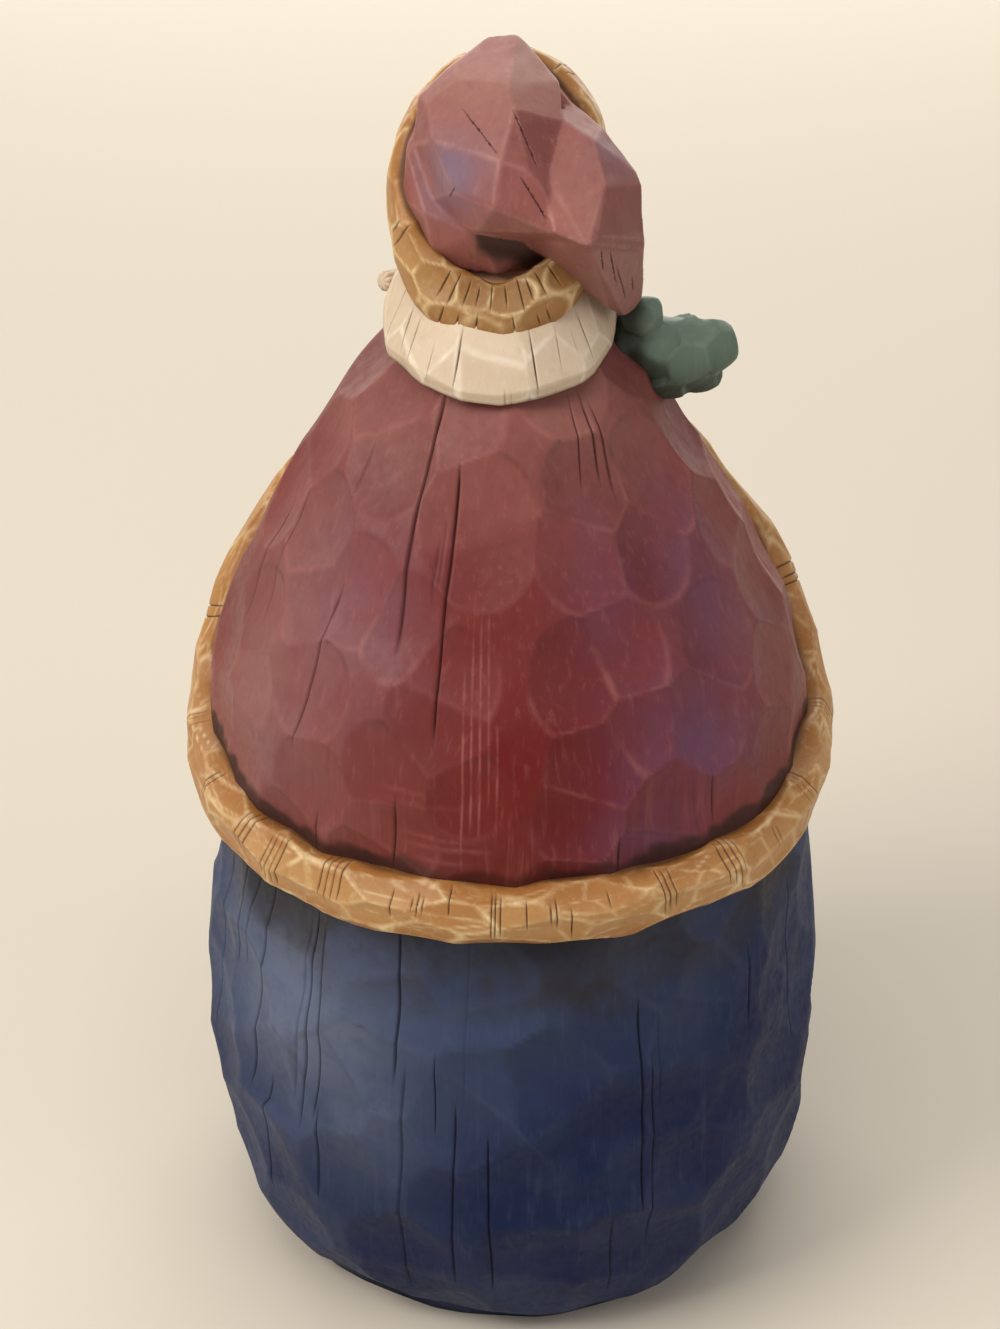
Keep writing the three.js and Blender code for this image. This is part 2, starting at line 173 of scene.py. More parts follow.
# How far a gouged surface lies from the plain one. The deepest cut wins, so neighbouring cuts
# meet in a ridge. Also gives each cut's own two shades, 1 at its foot and 0 at its head, and how
# near its ridge is, in mm.
def gougeMarks(angle, height, radiusAt, marks):
    middle = np.floor(height / marks["height"] + 0.5)
    best = np.full(angle.shape, marks["uncut"])
    second = np.full(angle.shape, 9.0)
    tone, hue, foot, tone2, hue2, foot2 = (np.full(angle.shape, 0.5) for _ in range(6))
    for rowStep in (-1, 0, 1):
        row = middle + rowStep
        girth = fullTurn * radiusAt(row * marks["height"])
        count = np.maximum(5, np.floor(girth / marks["width"] + 0.5))
        turn = fullTurn / count
        shift = chance(row, marks["seed"], 5)
        nearest = np.floor(angle / turn - shift + 0.5)
        for columnStep in (-1, 0, 1):
            column = nearest + columnStep
            key = column % count
            fate = [chance(key, row, marks["seed"] + kind) for kind in range(9)]
            centre = (column + shift + marks["stray"] * (fate[1] - 0.5)) * turn
            across = (angle - centre) * radiusAt(height)
            up = height - (row + marks["stray"] * (fate[2] - 0.5)) * marks["height"]
            level = marks["hollow"] * (across**2 + up**2) - marks["depth"] * lerp(0.65, 1.35, fate[3])
            level += marks["slope"] * ((fate[4] - 0.5) * across + (fate[6] - 0.2) * up)
            wins, near = level < best, level < second
            tone2 = np.where(wins, tone, np.where(near, fate[7], tone2))
            hue2 = np.where(wins, hue, np.where(near, fate[8], hue2))
            low = np.clip(0.5 - up / marks["height"], 0, 1)
            foot2 = np.where(wins, foot, np.where(near, low, foot2))
            second = np.where(wins, best, np.minimum(second, level))
            best = np.where(wins, level, best)
            tone, hue = np.where(wins, fate[7], tone), np.where(wins, fate[8], hue)
            foot = np.where(wins, low, foot)
    ridge = (second - best) / (marks["hollow"] * (marks["width"] + marks["height"]))
    blend = marks["blend"]
    share = np.clip(0.5 + ridge / blend, 0.5, 1)
    sag = 0.5 * blend * marks["hollow"] * marks["width"]
    level = lerp(second, best, share) - sag * share * (1 - share)
    return level, lerp(tone2, tone, share), lerp(hue2, hue, share), lerp(foot2, foot, share), ridge


# Splits [top degrees, bottom degrees, top z, bottom z, breadth, depth] in the paint.
# The grid's columns crowd together at each split and follow it, so its edges stay crisp.
class Splits:
    pull = 4  # how far from a split the columns still follow it
    wander = 0.16  # how far a split strays from its line, over each wave
    wave = 7.3
    fade = 7  # the length over which each end runs out

    def __init__(self, lines, radius, crowd=2.6, reach=0.8, behind=1.0):
        self.lines = lines
        self.radius = radius
        self.middles = np.radians([(line[0] + line[1]) / 2 for line in lines])
        turn = np.linspace(-math.pi, math.pi, 20001)
        density = np.zeros(len(turn))
        for middle in self.middles:
            gap = (turn - middle + math.pi) % fullTurn - math.pi
            density = np.maximum(density, crowd * np.exp(-((gap * radius / reach) ** 2)))
        density += lerp(1, behind, 1 - smoothStep(np.abs(turn), 1.6, 2.2))
        self.turn = turn
        self.share = np.concatenate([[0], np.cumsum((density[1:] + density[:-1]) / 2)])
        self.share /= self.share[-1]

    def columnAngle(self, u):
        return np.interp(u, self.share, self.turn)

    def gaps(self, angle):
        for middle, line in zip(self.middles, self.lines):
            yield (angle - middle + math.pi) % fullTurn - math.pi, middle, line

    def follow(self, angle, z):
        pull, weight = np.zeros(angle.shape), np.zeros(angle.shape)
        for gap, middle, (top, bottom, high, low, _, _) in self.gaps(angle):
            near = np.exp(-((gap * self.radius / self.pull) ** 2))
            path = np.radians(lerp(bottom, top, np.clip((z - low) / (high - low), 0, 1)))
            wander = self.wander / self.radius * np.sin(z / self.wave + 9 * middle)
            pull += near * (path - middle + wander)
            weight += near
        return angle + pull / np.maximum(1, weight)

    def grooves(self, angle, z, radius):
        deep, dark = np.zeros(angle.shape), np.zeros(angle.shape)
        for gap, _, (_, _, high, low, breadth, depth) in self.gaps(angle):
            half = 0.62 * breadth
            ends = smoothStep(z, low, low + self.fade) * (1 - smoothStep(z, high - self.fade, high))
            side = np.abs(gap) * radius
            deep = np.maximum(deep, depth * ends * np.clip(1 - side / (1.3 * half), 0, 1))
            dark = np.maximum(dark, ends**0.6 * (1 - smoothStep(side, 0.25 * half, 0.95 * half)))
        return deep, dark


# An sRGB hex colour as the linear one that a shader takes
def paintColour(code):
    parts = [int(code[i:i + 2], 16) / 255 for i in (0, 2, 4)]
    return [p / 12.92 if p <= 0.04045 else ((p + 0.055) / 1.055) ** 2.4 for p in parts] + [1.0]


# Adds a node with its settings, links or sets its inputs, and gives back one of its outputs
def addNode(tree, kind, inputs=None, out=0, **settings):
    made = tree.nodes.new(kind)
    for key, value in settings.items():
        setattr(made, key, value)
    for key, value in (inputs or {}).items():
        if isinstance(value, bpy.types.NodeSocket):
            tree.links.new(value, made.inputs[key])
        else:
            made.inputs[key].default_value = value
    return made.outputs[out] if made.outputs else made


# Hand-painted cast resin: a satin acrylic coat, thinner glazes over it, a dark antiquing wash rubbed into
# the hollows, lighter paint dry-brushed on the ridges, and black-brown splits. On some pieces the wash
# colour also lays painted shade, the ridge colour painted highlights, and the glaze and the dusty tone
# painted light.
def paintedResin(name, look):
    material = bpy.data.materials.new(name)
    material.use_nodes = True
    tree = material.node_tree
    tree.nodes.clear()
    soft = {"interpolation_type": "SMOOTHSTEP"}
    over = {"out": 2, "data_type": "RGBA"}
    place = addNode(tree, "ShaderNodeTexCoord", out="Object")
    brushed = addNode(tree, "ShaderNodeMapping", {
        "Vector": place, "Scale": look.get("hairs", (1, 1, 0.05))})
    patterns = {
        # name: where it lies, spacing in mm, detail
        "clouds": (place, 30, 4), "hairs": (brushed, 1.6, 3),
        "grit": (place, 2.2, 5), "rub": (place, 7, 5),
    }
    pattern = {key: addNode(tree, "ShaderNodeTexNoise", {
        "Vector": where, "Scale": 1000 / spacing, "Detail": detail, "Roughness": 0.6}, out="Fac")
        for key, (where, spacing, detail) in patterns.items()}
    painted = {key: addNode(tree, "ShaderNodeAttribute", out="Fac", attribute_name=key)
               for key in ("tone", "deep", "glaze", "dustyToneAndPaintedLight", "rim", "shade", "crack")}

    # the first coat runs from its dark to its light, by the cut and by slow clouds
    cloudy = addNode(tree, "ShaderNodeMapRange", {
        "Value": pattern["clouds"], "From Min": 0.3, "From Max": 0.7, "To Max": 0.4}, **soft)
    tone = addNode(tree, "ShaderNodeMath", {0: painted["tone"], 1: 0.6, 2: cloudy},
                   operation="MULTIPLY_ADD")
    colour = addNode(tree, "ShaderNodeMix", {
        0: tone, 6: paintColour(look["dark"]), 7: paintColour(look["light"])}, **over)
    coats = [
        # where it was brushed, what breaks it up, from and to, the least of it, its colour, how thick
        ("deep", "clouds", 0.25, 0.6, 0.5, "deep", 1),
        ("glaze", "rub", 0.2, 0.6, 0.55, "glaze", 1),
        ("dustyToneAndPaintedLight", "rub", 0.2, 0.8, 0.6, "dustyToneAndPaintedLight", 1),
        ("", "hairs", 0.52, 0.75, 0, "rim", look["streaks"]),
        ("", "hairs", 0.46, 0.25, 0, "washAndShade", 0.9 * look["streaks"]),
        ("rim", "rub", 0.35, 0.62, 0.15, "rim", look["rimAmount"]),
    ]
    for layer, broken, low, high, least, paint, thick in coats:
        amount = addNode(tree, "ShaderNodeMapRange", {
            "Value": pattern[broken], "From Min": low, "From Max": high, "To Min": least * thick,
            "To Max": thick}, **soft)
        if layer:
            amount = addNode(tree, "ShaderNodeMath", {0: amount, 1: painted[layer]}, operation="MULTIPLY")
        colour = addNode(tree, "ShaderNodeMix", {
            0: amount, 6: colour, 7: paintColour(look[paint])}, **over)

    # the shade attribute lays the wash colour on in patches: antiquing wash in the hollows, and painted
    # shade under overhangs, in crevices and on the cuts' upper ridges; none where the attribute is zero
    patchy = addNode(tree, "ShaderNodeMath", {0: pattern["rub"], 1: 0.9, 2: -0.45},
                     operation="MULTIPLY_ADD")
    washAndShadeLayer = addNode(tree, "ShaderNodeMath", {0: painted["shade"], 1: patchy}, operation="ADD")
    washAndShadeLayer = addNode(tree, "ShaderNodeMapRange", {
        "Value": washAndShadeLayer, "From Min": 0.15, "From Max": 0.95, "To Max": look["washAndShadeAmount"]}, **soft)
    washAndShadeGiven = addNode(tree, "ShaderNodeMath", {0: painted["shade"], 1: 0.001}, operation="GREATER_THAN")
    washAndShadeLayer = addNode(tree, "ShaderNodeMath", {0: washAndShadeLayer, 1: washAndShadeGiven}, operation="MULTIPLY")
    for amount, paint in ((washAndShadeLayer, "washAndShade"), (painted["crack"], "crack")):
        colour = addNode(tree, "ShaderNodeMix", {
            0: amount, 6: colour, 7: paintColour(look[paint])}, **over)

    # brush hairs and fine grit in the dried paint, a quarter of a millimetre deep at most
    relief = addNode(tree, "ShaderNodeMath", {0: pattern["hairs"], 1: look["hairRelief"]},
                     operation="MULTIPLY")
    relief = addNode(tree, "ShaderNodeMath", {0: pattern["grit"], 1: 0.35, 2: relief},
                     operation="MULTIPLY_ADD")
    bump = addNode(tree, "ShaderNodeBump", {
        "Height": relief, "Strength": look["relief"], "Distance": 0.25 * mm})
    dull = addNode(tree, "ShaderNodeMath", {0: painted["crack"], 1: 0.4, 2: pattern["grit"]},
                   operation="MULTIPLY_ADD")
    rough = addNode(tree, "ShaderNodeMapRange", {
        "Value": dull, "From Min": 0.3, "From Max": 0.8, "To Min": look["rough"][0],
        "To Max": look["rough"][1]}, **soft)
    shader = addNode(tree, "ShaderNodeBsdfPrincipled", {
        "Base Color": colour, "Roughness": rough, "Normal": bump, "IOR": 1.47,
        "Specular IOR Level": look.get("gloss", 0.45),
    })
    addNode(tree, "ShaderNodeOutputMaterial", {"Surface": shader})
    return material


def finishPiece(piece, material):
    piece.data.materials.clear()
    piece.data.materials.append(material)
    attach(piece, "root")
    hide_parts(castNode)


redPaint = paintedResin("brickRedAcrylic", {
    "dark": "5E2022", "light": "883B39", "deep": "6A0A09", "glaze": "68405F", "dustyToneAndPaintedLight": "94675F",
    "rim": "B4716A", "rimAmount": 0.5, "washAndShade": "33201B", "washAndShadeAmount": 0.85, "crack": "30100D",
    "streaks": 0.15, "relief": 0.35, "hairRelief": 0.5, "rough": (0.48, 0.66), "gloss": 0.34,
})
# a paler, greyer red for the cap
paleRedPaint = paintedResin("paleRedAcrylic", {
    "dark": "743C3C", "light": "9C5C54", "deep": "83625B", "glaze": "7A6278", "dustyToneAndPaintedLight": "A0756C",
    "rim": "C08C82", "rimAmount": 0.5, "washAndShade": "2C1D18", "washAndShadeAmount": 0.88, "crack": "30100D",
    "streaks": 0.16, "relief": 0.35, "hairRelief": 0.4, "rough": (0.42, 0.58),
})
bluePaint = paintedResin("denimBlueAcrylic", {
    "dark": "222E4E", "light": "475578", "deep": "111D46", "glaze": "7A849E", "dustyToneAndPaintedLight": "494B52",
    "rim": "6A7893", "rimAmount": 0.1, "washAndShade": "2D2929", "washAndShadeAmount": 0.83, "crack": "0C0D12",
    "streaks": 0.08, "relief": 0.3, "hairRelief": 0.4, "rough": (0.5, 0.7), "gloss": 0.22,
})
goldPaint = paintedResin("ochreAcrylic", {
    "dark": "98602B", "light": "B2793C", "deep": "80501F", "glaze": "BE935F", "dustyToneAndPaintedLight": "7E5A2E",
    "rim": "F0D8A8", "rimAmount": 0.95, "washAndShade": "4E3420", "washAndShadeAmount": 0.75, "crack": "3A2111",
    "streaks": 0.12, "relief": 0.4, "hairRelief": 0.2, "hairs": (1, 1, 0.6), "rough": (0.4, 0.6),
})
creamPaint = paintedResin("creamAcrylic", {
    "dark": "C9B499", "light": "E3D2BC", "deep": "BBA387", "glaze": "D9C9B6", "dustyToneAndPaintedLight": "BCA78E",
    "rim": "F1E6D6", "rimAmount": 0.6, "washAndShade": "7A6148", "washAndShadeAmount": 0.8, "crack": "3E2A1C",
    "streaks": 0.14, "relief": 0.45, "hairRelief": 0.6, "rough": (0.5, 0.68),
})
greenPaint = paintedResin("spruceGreenAcrylic", {
    "dark": "485A4F", "light": "6B7E70", "deep": "2E4038", "glaze": "3B5450", "dustyToneAndPaintedLight": "73877A",
    "rim": "96A699", "rimAmount": 0.4, "washAndShade": "1D201B", "washAndShadeAmount": 0.8, "crack": "14160F",
    "streaks": 0.12, "relief": 0.5, "hairRelief": 0.3, "rough": (0.45, 0.65),
})
skinPaint = paintedResin("skinAcrylic", {
    "dark": "C08D70", "light": "D3A183", "deep": "B4664F", "glaze": "C77F6A", "dustyToneAndPaintedLight": "CFA68A",
    "rim": "E3BFA2", "rimAmount": 0.4, "washAndShade": "6B4330", "washAndShadeAmount": 0.7, "crack": "3A2418",
    "streaks": 0.08, "relief": 0.3, "hairRelief": 0.3, "rough": (0.45, 0.6),
})
brownPaint = paintedResin("darkBrownAcrylic", {
    "dark": "2C2019", "light": "41312A", "deep": "241A15", "glaze": "4A3A30", "dustyToneAndPaintedLight": "57483D",
    "rim": "7E6A58", "rimAmount": 0.4, "washAndShade": "15100D", "washAndShadeAmount": 0.8, "crack": "0E0A08",
    "streaks": 0.12, "relief": 0.45, "hairRelief": 0.3, "rough": (0.42, 0.6),
})
print("paints mixed")

body = {
    "trousers": [[0, 60.5], [2.5, 62], [8, 67.2], [18, 72.2], [32, 75.6], [50, 77.4], [70, 76.8],
                 [90, 74.8], [110, 72.5], [132, 70.2]],
    "coat": [[115, 73.4], [125, 73.0], [138, 71.5], [155, 70.1], [172, 65.6], [188, 57.6], [203, 49.7],
             [216, 41.6], [228, 33.5], [238, 25.4], [246, 19.0]],
    "lean": [[100, -0.8], [140, 0], [180, 0.6], [228, 1.8]],
    "hem": [[0, 131.5], [45, 132], [60, 134], [75, 137.5], [90, 141.5], [100, 149], [106, 156],
            [112, 166], [120, 178], [130, 190], [140, 200], [150, 209], [165, 220], [180, 226]],
    "coatThickness": 3.2, "coatTop": 240, "coatHollowTop": 190, "bellyTop": 226, "foot": 2.5,
    "waist": (112, 140), "headX": 2.4,
}
trousersRadius = smoothCurve(body["trousers"])
coatRadius = smoothCurve(body["coat"])
axisX = smoothCurve(body["lean"])
hemHeight = smoothCurve(body["hem"])
headX = body["headX"]


def bodyRadius(z):
    return lerp(trousersRadius(z), coatRadius(z) - body["coatThickness"], smoothStep(z, *body["waist"]))


def onBody(angle, z, radius, push):
    lean = slopeOf(radius, z)
    length = np.sqrt(1 + lean**2)
    return around(angle, radius(z) + push / length, z - lean * push / length, axisX(z))


# How strongly soft-edged spots [degrees, z, width, height] of another colour show
def spots(angle, z, radius, places):
    total = np.zeros(angle.shape)
    for degreesRound, height, wide, tall, amount in places:
        gap = ((angle - math.radians(degreesRound) + math.pi) % fullTurn - math.pi) * radius
        total = np.maximum(total, amount * np.exp(-((gap / wide) ** 2) - ((z - height) / tall) ** 2))
    return total


# More splits spread over a sector of the hidden sides, each value between its two limits
def extraSplits(count, seed, sector, heights, lengths, breadths, depths):
    lines = []
    for i in range(count):
        top = lerp(sector[0], sector[1], (i + 0.7 * chance(i, 1, seed)) / count)
        high = lerp(heights[0], heights[1], chance(i, 2, seed))
        long = lerp(lengths[0], lengths[1], chance(i, 3, seed))
        breadth = lerp(breadths[0], breadths[1], chance(i, 4, seed))
        depth = lerp(depths[0], depths[1], chance(i, 5, seed))
        lean = 3 * (chance(i, 6, seed) - 0.5)
        lines.append([top, top + lean, high, high - long, breadth, depth])
    return lines


trousers = {
    "columns": 610, "rows": 152, "belowCoat": 138, "radius": 75,
    "marks": {"width": 28, "height": 13, "depth": 1.5, "hollow": 0.0115, "stray": 0.62, "slope": 0.2,
              "seed": 11, "uncut": 0.4, "blend": 1.4},
    # painted shade: the first two deep spots darken the right side, the last deepens the front
    "deepSpots": [[-20, 70, 45, 35, 0.8], [-55, 80, 34, 60, 1.0], [180, 60, 90, 40, 0.6]],
    # painted light: the glaze spots lighten the lit left side
    "glazeSpots": [[45, 95, 26, 30, 0.75], [30, 70, 18, 18, 0.35]],
    # painted shade: the dark side spot darkens the right side
    "shadedSideSpots": [[-52, 70, 26, 60, 1]], "washAndShadowSpots": [[3, 112, 38, 18, 0.35], [-30, 108, 12, 14, 0.2]],
    "splits": [
        [20.4, 22.7, 126, 80, 0.42, 0.9], [37.6, 41.7, 122, 58, 0.45, 1.0],
        [39.6, 43.6, 118, 64, 0.3, 0.6], [35.4, 38.6, 119, 62, 0.3, 0.6],
        [58.0, 64.4, 125, 86, 0.42, 0.8], [53.9, 61.7, 125, 90, 0.35, 0.6],
        [50.4, 57.0, 122, 58, 0.38, 0.7], [18.6, 20.9, 88, 14, 0.36, 0.7], [9.8, 10.7, 80, 22, 0.4, 0.8],
        [7.6, 9.4, 128, 76, 0.26, 0.4], [4.5, 3.7, 72, 20, 0.42, 0.9],
        [-22.9, -23.5, 105, 42, 0.42, 0.9], [-24.7, -25.7, 90, 30, 0.26, 0.5],
        [-26.8, -26.6, 103, 72, 0.26, 0.5], [35.9, 36.6, 68, 38, 0.36, 0.7],
        [13.6, 14.1, 94, 68, 0.3, 0.5], [-17.6, -19.3, 46, 12, 0.3, 0.5],
        [-48.4, -46.3, 106, 84, 0.36, 0.6], [49.3, 51.6, 68, 28, 0.3, 0.6],
        [70.0, 75.0, 120, 60, 0.4, 0.7], [-66.0, -63.0, 112, 66, 0.4, 0.7],
    ] + extraSplits(15, 23, (88, 272), (70, 128), (24, 70), (0.28, 0.42), (0.5, 0.9)),
}
trouserSplits = Splits(trousers["splits"], trousers["radius"])


def placeTrousers(u, v):
    rows = trousers["rows"]
    ring = v * rows
    column = trouserSplits.columnAngle(u)
    z = np.interp(ring, [2, 0.7 * rows, rows - 1],
                  [body["foot"], trousers["belowCoat"], body["bellyTop"]])
    angle = trouserSplits.follow(column, z)
    radius = bodyRadius(z)
    push, tone, hue, foot, ridge = gougeMarks(angle, z, bodyRadius, trousers["marks"])
    deep, dark = trouserSplits.grooves(column, z, radius)
    points = onBody(angle, z, bodyRadius, push - deep + 0.12 * softWaves(around(angle, radius, z), 9, 5))
    flat = ring < 1.5
    points[flat] = around(angle[flat], trousersRadius(0) + 0.5 * push[flat], 0.0)
    points[ring < 0.5] = (0, 0, 0)
    points[ring > rows - 0.5] = (0, 0, body["bellyTop"])
    # under the overhanging trim: antiquing wash and the trim's painted shadow
    underTrim = 1 - smoothStep(hemHeight(fromBack(angle)) - 7 - z, 2, 34)
    waves = softWaves(points, 46, 8)
    deeper, glazed, shadedSide, washedAndShadowed = (spots(angle, z, trousers["radius"], trousers[key])
                                       for key in ("deepSpots", "glazeSpots", "shadedSideSpots", "washAndShadowSpots"))
    paint = {
        # tone: random by cut, plus painted light towards the top and at each cut's foot, and painted
        # shade on the right
        "tone": 0.95 * tone + 0.2 * foot + 0.15 * smoothStep(z, 40, 115) - 0.05 - 0.4 * shadedSide,
        # deep: painted shade, deeper navy low down and on the right
        "deep": (0.6 + 0.4 * hue) * (1 - smoothStep(z, 35, 105)) + deeper,
        # glaze: painted light, lighter grey-blue on the left
        "glaze": glazed * (0.4 + 0.8 * hue),
        "dustyToneAndPaintedLight": 0.7 * smoothStep(z, 98, 128) * (0.6 + 0.5 * waves),
        # rim: dry-brushed ridges kept to each cut's lower rim as a painted highlight
        "rim": (1 - smoothStep(ridge, 0, 1.2)) * smoothStep(z, 20, 80) * smoothStep(foot, 0.3, 0.9),
        # shade: wash and painted shadow under the trim, darkest in spots, and painted shade on each cut's
        # upper ridge
        "shade": np.maximum(underTrim**0.7 * (0.22 + 0.78 * hue + 0.15 * waves + washedAndShadowed),
                            0.5 * (1 - smoothStep(ridge, 0, 1.7)) * (1 - foot)),
        "crack": dark * 0.9,
    }
    return points, paint


trousersPiece = wrappedSheet("trousers", trousers["columns"], trousers["rows"], placeTrousers)
finishPiece(trousersPiece, bluePaint)
print("trousers carved", len(trousersPiece.data.polygons))

coat = {
    "columns": 470, "rows": 190, "radius": 60, "spotRadius": 62,
    "marks": {"width": 21, "height": 17, "depth": 1.5, "hollow": 0.0145, "stray": 0.7, "slope": 0.23,
              "seed": 3, "uncut": 0.4, "blend": 1.2},
    "deepSpots": [[1, 156, 34, 30, 1.3], [10, 192, 18, 24, 0.7]],
    "glazeSpots": [[-38, 163, 18, 18, 1.1], [-52, 192, 16, 22, 0.8], [42, 190, 20, 24, 0.9],
                   [50, 160, 14, 18, 0.8], [-24, 200, 10, 14, 0.6], [-29, 148, 15, 11, 1.0]],
    # painted sheen: these spots lighten the coat's far left and right sides
    "sideSheenSpots": [[56, 165, 34, 60, 1.0], [-78, 170, 24, 60, 0.7]],
    "splits": [
        [26.0, 24.4, 236, 184, 0.5, 1.1], [13.9, 14.5, 224, 168, 0.52, 1.2],
        [17.3, 18.1, 210, 193, 0.34, 0.6], [16.7, 16.4, 214, 196, 0.26, 0.5],
        [49.8, 47.5, 224, 208, 0.26, 0.4], [41.7, 44.4, 196, 160, 0.42, 0.8],
        [20.5, 22.1, 158, 136, 0.4, 0.8], [36.7, 37.0, 149, 136, 0.3, 0.6],
        [-30.9, -24.2, 235, 216, 0.34, 0.6], [-38.1, -28.4, 235, 216, 0.42, 0.8],
        [-41.1, -31.8, 233, 212, 0.34, 0.6], [-19.7, -19.5, 149, 136, 0.36, 0.7],
        [34.0, 35.1, 170, 156, 0.3, 0.5], [76.0, 70.0, 203, 172, 0.36, 0.6],
        [66.8, 64.3, 208, 178, 0.36, 0.6], [-33.1, -33.2, 156, 137, 0.36, 0.6],
        [-37.2, -38.0, 157, 137, 0.36, 0.6], [-39.9, -41.5, 158, 142, 0.3, 0.5],
        [-45.4, -45.8, 155, 141, 0.3, 0.5], [30.6, 31.6, 154, 137, 0.26, 0.5],
    ] + extraSplits(10, 31, (84, 276), (170, 228), (16, 40), (0.28, 0.4), (0.5, 0.8)),
    "scratches": [
        [7.2, 7.0, 200, 150, 0.3, 0], [5.3, 5.6, 198, 148, 0.3, 0], [3.7, 3.8, 197, 156, 0.26, 0],
        [9.0, 8.2, 186, 140, 0.24, 0], [2.0, 2.6, 176, 146, 0.2, 0], [12.0, 11.6, 172, 150, 0.2, 0],
        [-7.0, -7.6, 168, 146, 0.18, 0],
    ],
    "brushed": [[18, 158.5, 5, 0.5, 0.5], [15.5, 156, 6, 0.6, 0.6], [12.5, 148.5, 6, 0.6, 0.7],
                [9, 146.5, 6, 0.6, 0.75], [15.5, 146, 4, 0.5, 0.4], [12, 143, 5, 0.5, 0.5]],
}
coatSplits = Splits(coat["splits"] + coat["scratches"], coat["radius"], behind=3.0)
coatCracks, coatScratches = (Splits(coat[key], coat["radius"]) for key in ("splits", "scratches"))


def placeCoat(u, v):
    rows = coat["rows"]
    ring = v * rows
    column = coatSplits.columnAngle(u)
    hem = hemHeight(fromBack(column))
    z = lerp(hem, body["coatTop"], np.clip((ring - 1) / (rows - 2), 0, 1))
    angle = coatSplits.follow(column, z)
    radius = coatRadius(z)
    push, tone, hue, foot, ridge = gougeMarks(angle, z, coatRadius, coat["marks"])
    deep, dark = coatCracks.grooves(column, z, radius)
    points = onBody(angle, z, coatRadius, push - deep + 0.1 * softWaves(around(angle, radius, z), 8, 2))
    points[ring < 0.5] = (0, 0, body["coatHollowTop"])
    points[ring > rows - 0.5] = (0, 0, body["coatTop"])
    above = z - hem
    waves = softWaves(points, 40, 6)
    deeper, glazed, sideSheen = (spots(angle, z, coat["spotRadius"], coat[key])
                             for key in ("deepSpots", "glazeSpots", "sideSheenSpots"))
    scratched = 0.9 * coatScratches.grooves(column, z, radius)[1]
    ragged = above + 1.8 * softWaves(points, 6, 9)
    fuller = lerp(0.6, 1, smoothStep(fromBack(column), 10, 35))
    paint = {
        # tone: random by cut, plus painted shading that lightens each cut towards its top
        "tone": 0.1 + 0.65 * tone + 0.15 * (1 - foot) + 0.1 * waves,
        "deep": (0.7 + 0.4 * hue) * deeper,
        "glaze": glazed * (0.4 + 0.7 * hue),
        # painted light: shoulders lighter and greyer towards the top, and painted sheen on the far sides
        "dustyToneAndPaintedLight": np.maximum(smoothStep(z, 196, 236) * (0.75 + 0.3 * waves) * (0.6 + 0.4 * tone),
                            (0.45 + 0.55 * hue) * sideSheen),
        # rim: dry-brushed ridges kept to each cut's lower rim as a painted highlight, with pale scratches
        # and brush strokes
        "rim": np.maximum(0.9 * (1 - smoothStep(ridge, 0, 0.75)) * smoothStep(foot, 0.3, 0.9) * hue,
                          np.maximum(scratched, spots(angle, z, radius, coat["brushed"]))),
        # shade: antiquing wash and painted shade in the ragged crevice along the trim, and painted shade
        # on each cut's upper ridge
        "shade": np.maximum((1 - smoothStep(ragged, 7.8, 12.5)) * fuller,
                            0.4 * (1 - smoothStep(ridge, 0, 1.2)) * (1 - smoothStep(foot, 0.2, 0.7))),
        "crack": dark,
    }
    return points, paint


coatPiece = wrappedSheet("coat", coat["columns"], coat["rows"], placeCoat)
finishPiece(coatPiece, redPaint)
print("coat carved", len(coatPiece.data.polygons))


# Flat whittled facets along a band, in mm along it and round its section
def whittled(along, length, over, girth, marks):
    rows = max(3, round(girth / marks["tall"]))
    count = max(5, round(length / marks["long"]))
    best, second = np.full(along.shape, marks["uncut"]), np.full(along.shape, 9.0)
    tone, hue = np.full(along.shape, 0.5), np.full(along.shape, 0.5)
    middle = np.floor(over / girth * rows)
    for rowStep in (-1, 0, 1):
        row = middle + rowStep
        shift = chance(row % rows, marks["seed"], 5)
        nearest = np.floor(along / length * count - shift)
        for columnStep in (-1, 0, 1, 2):
            column = nearest + columnStep
            fate = [chance(column % count, row % rows, marks["seed"] + kind) for kind in range(9)]
            far = along - (column + shift + marks["stray"] * (fate[1] - 0.5)) * length / count
            up = over - (row + 0.5 + marks["stray"] * (fate[2] - 0.5)) * girth / rows
            level = marks["longHollow"] * far**2 + marks["roundHollow"] * up**2
            level += marks["slope"] * (fate[4] - 0.5) * far - marks["depth"] * lerp(0.6, 1.4, fate[3])
            wins = level < best
            second = np.where(wins, best, np.minimum(second, level))
            best = np.where(wins, level, best)
            tone, hue = np.where(wins, fate[7], tone), np.where(wins, fate[8], hue)
    return best, tone, hue, (second - best) / marks["spread"]


# The section's rounded outline through its [out, across] corners, by the share of the way round
def sectionCurve(corners):
    closed = np.array(corners + corners[:3], float)

    def at(v):
        s = (v % 1) * len(corners)
        i = np.floor(s).astype(int)
        t = (s - i)[:, None]
        a, b, c, d = (closed[(i + k) % len(corners)] for k in (-1, 0, 1, 2))
        return 0.5 * (2 * b + (c - a) * t + (2 * a - 5 * b + 4 * c - d) * t**2
                      + (3 * b - a - 3 * c + d) * t**3)

    return at


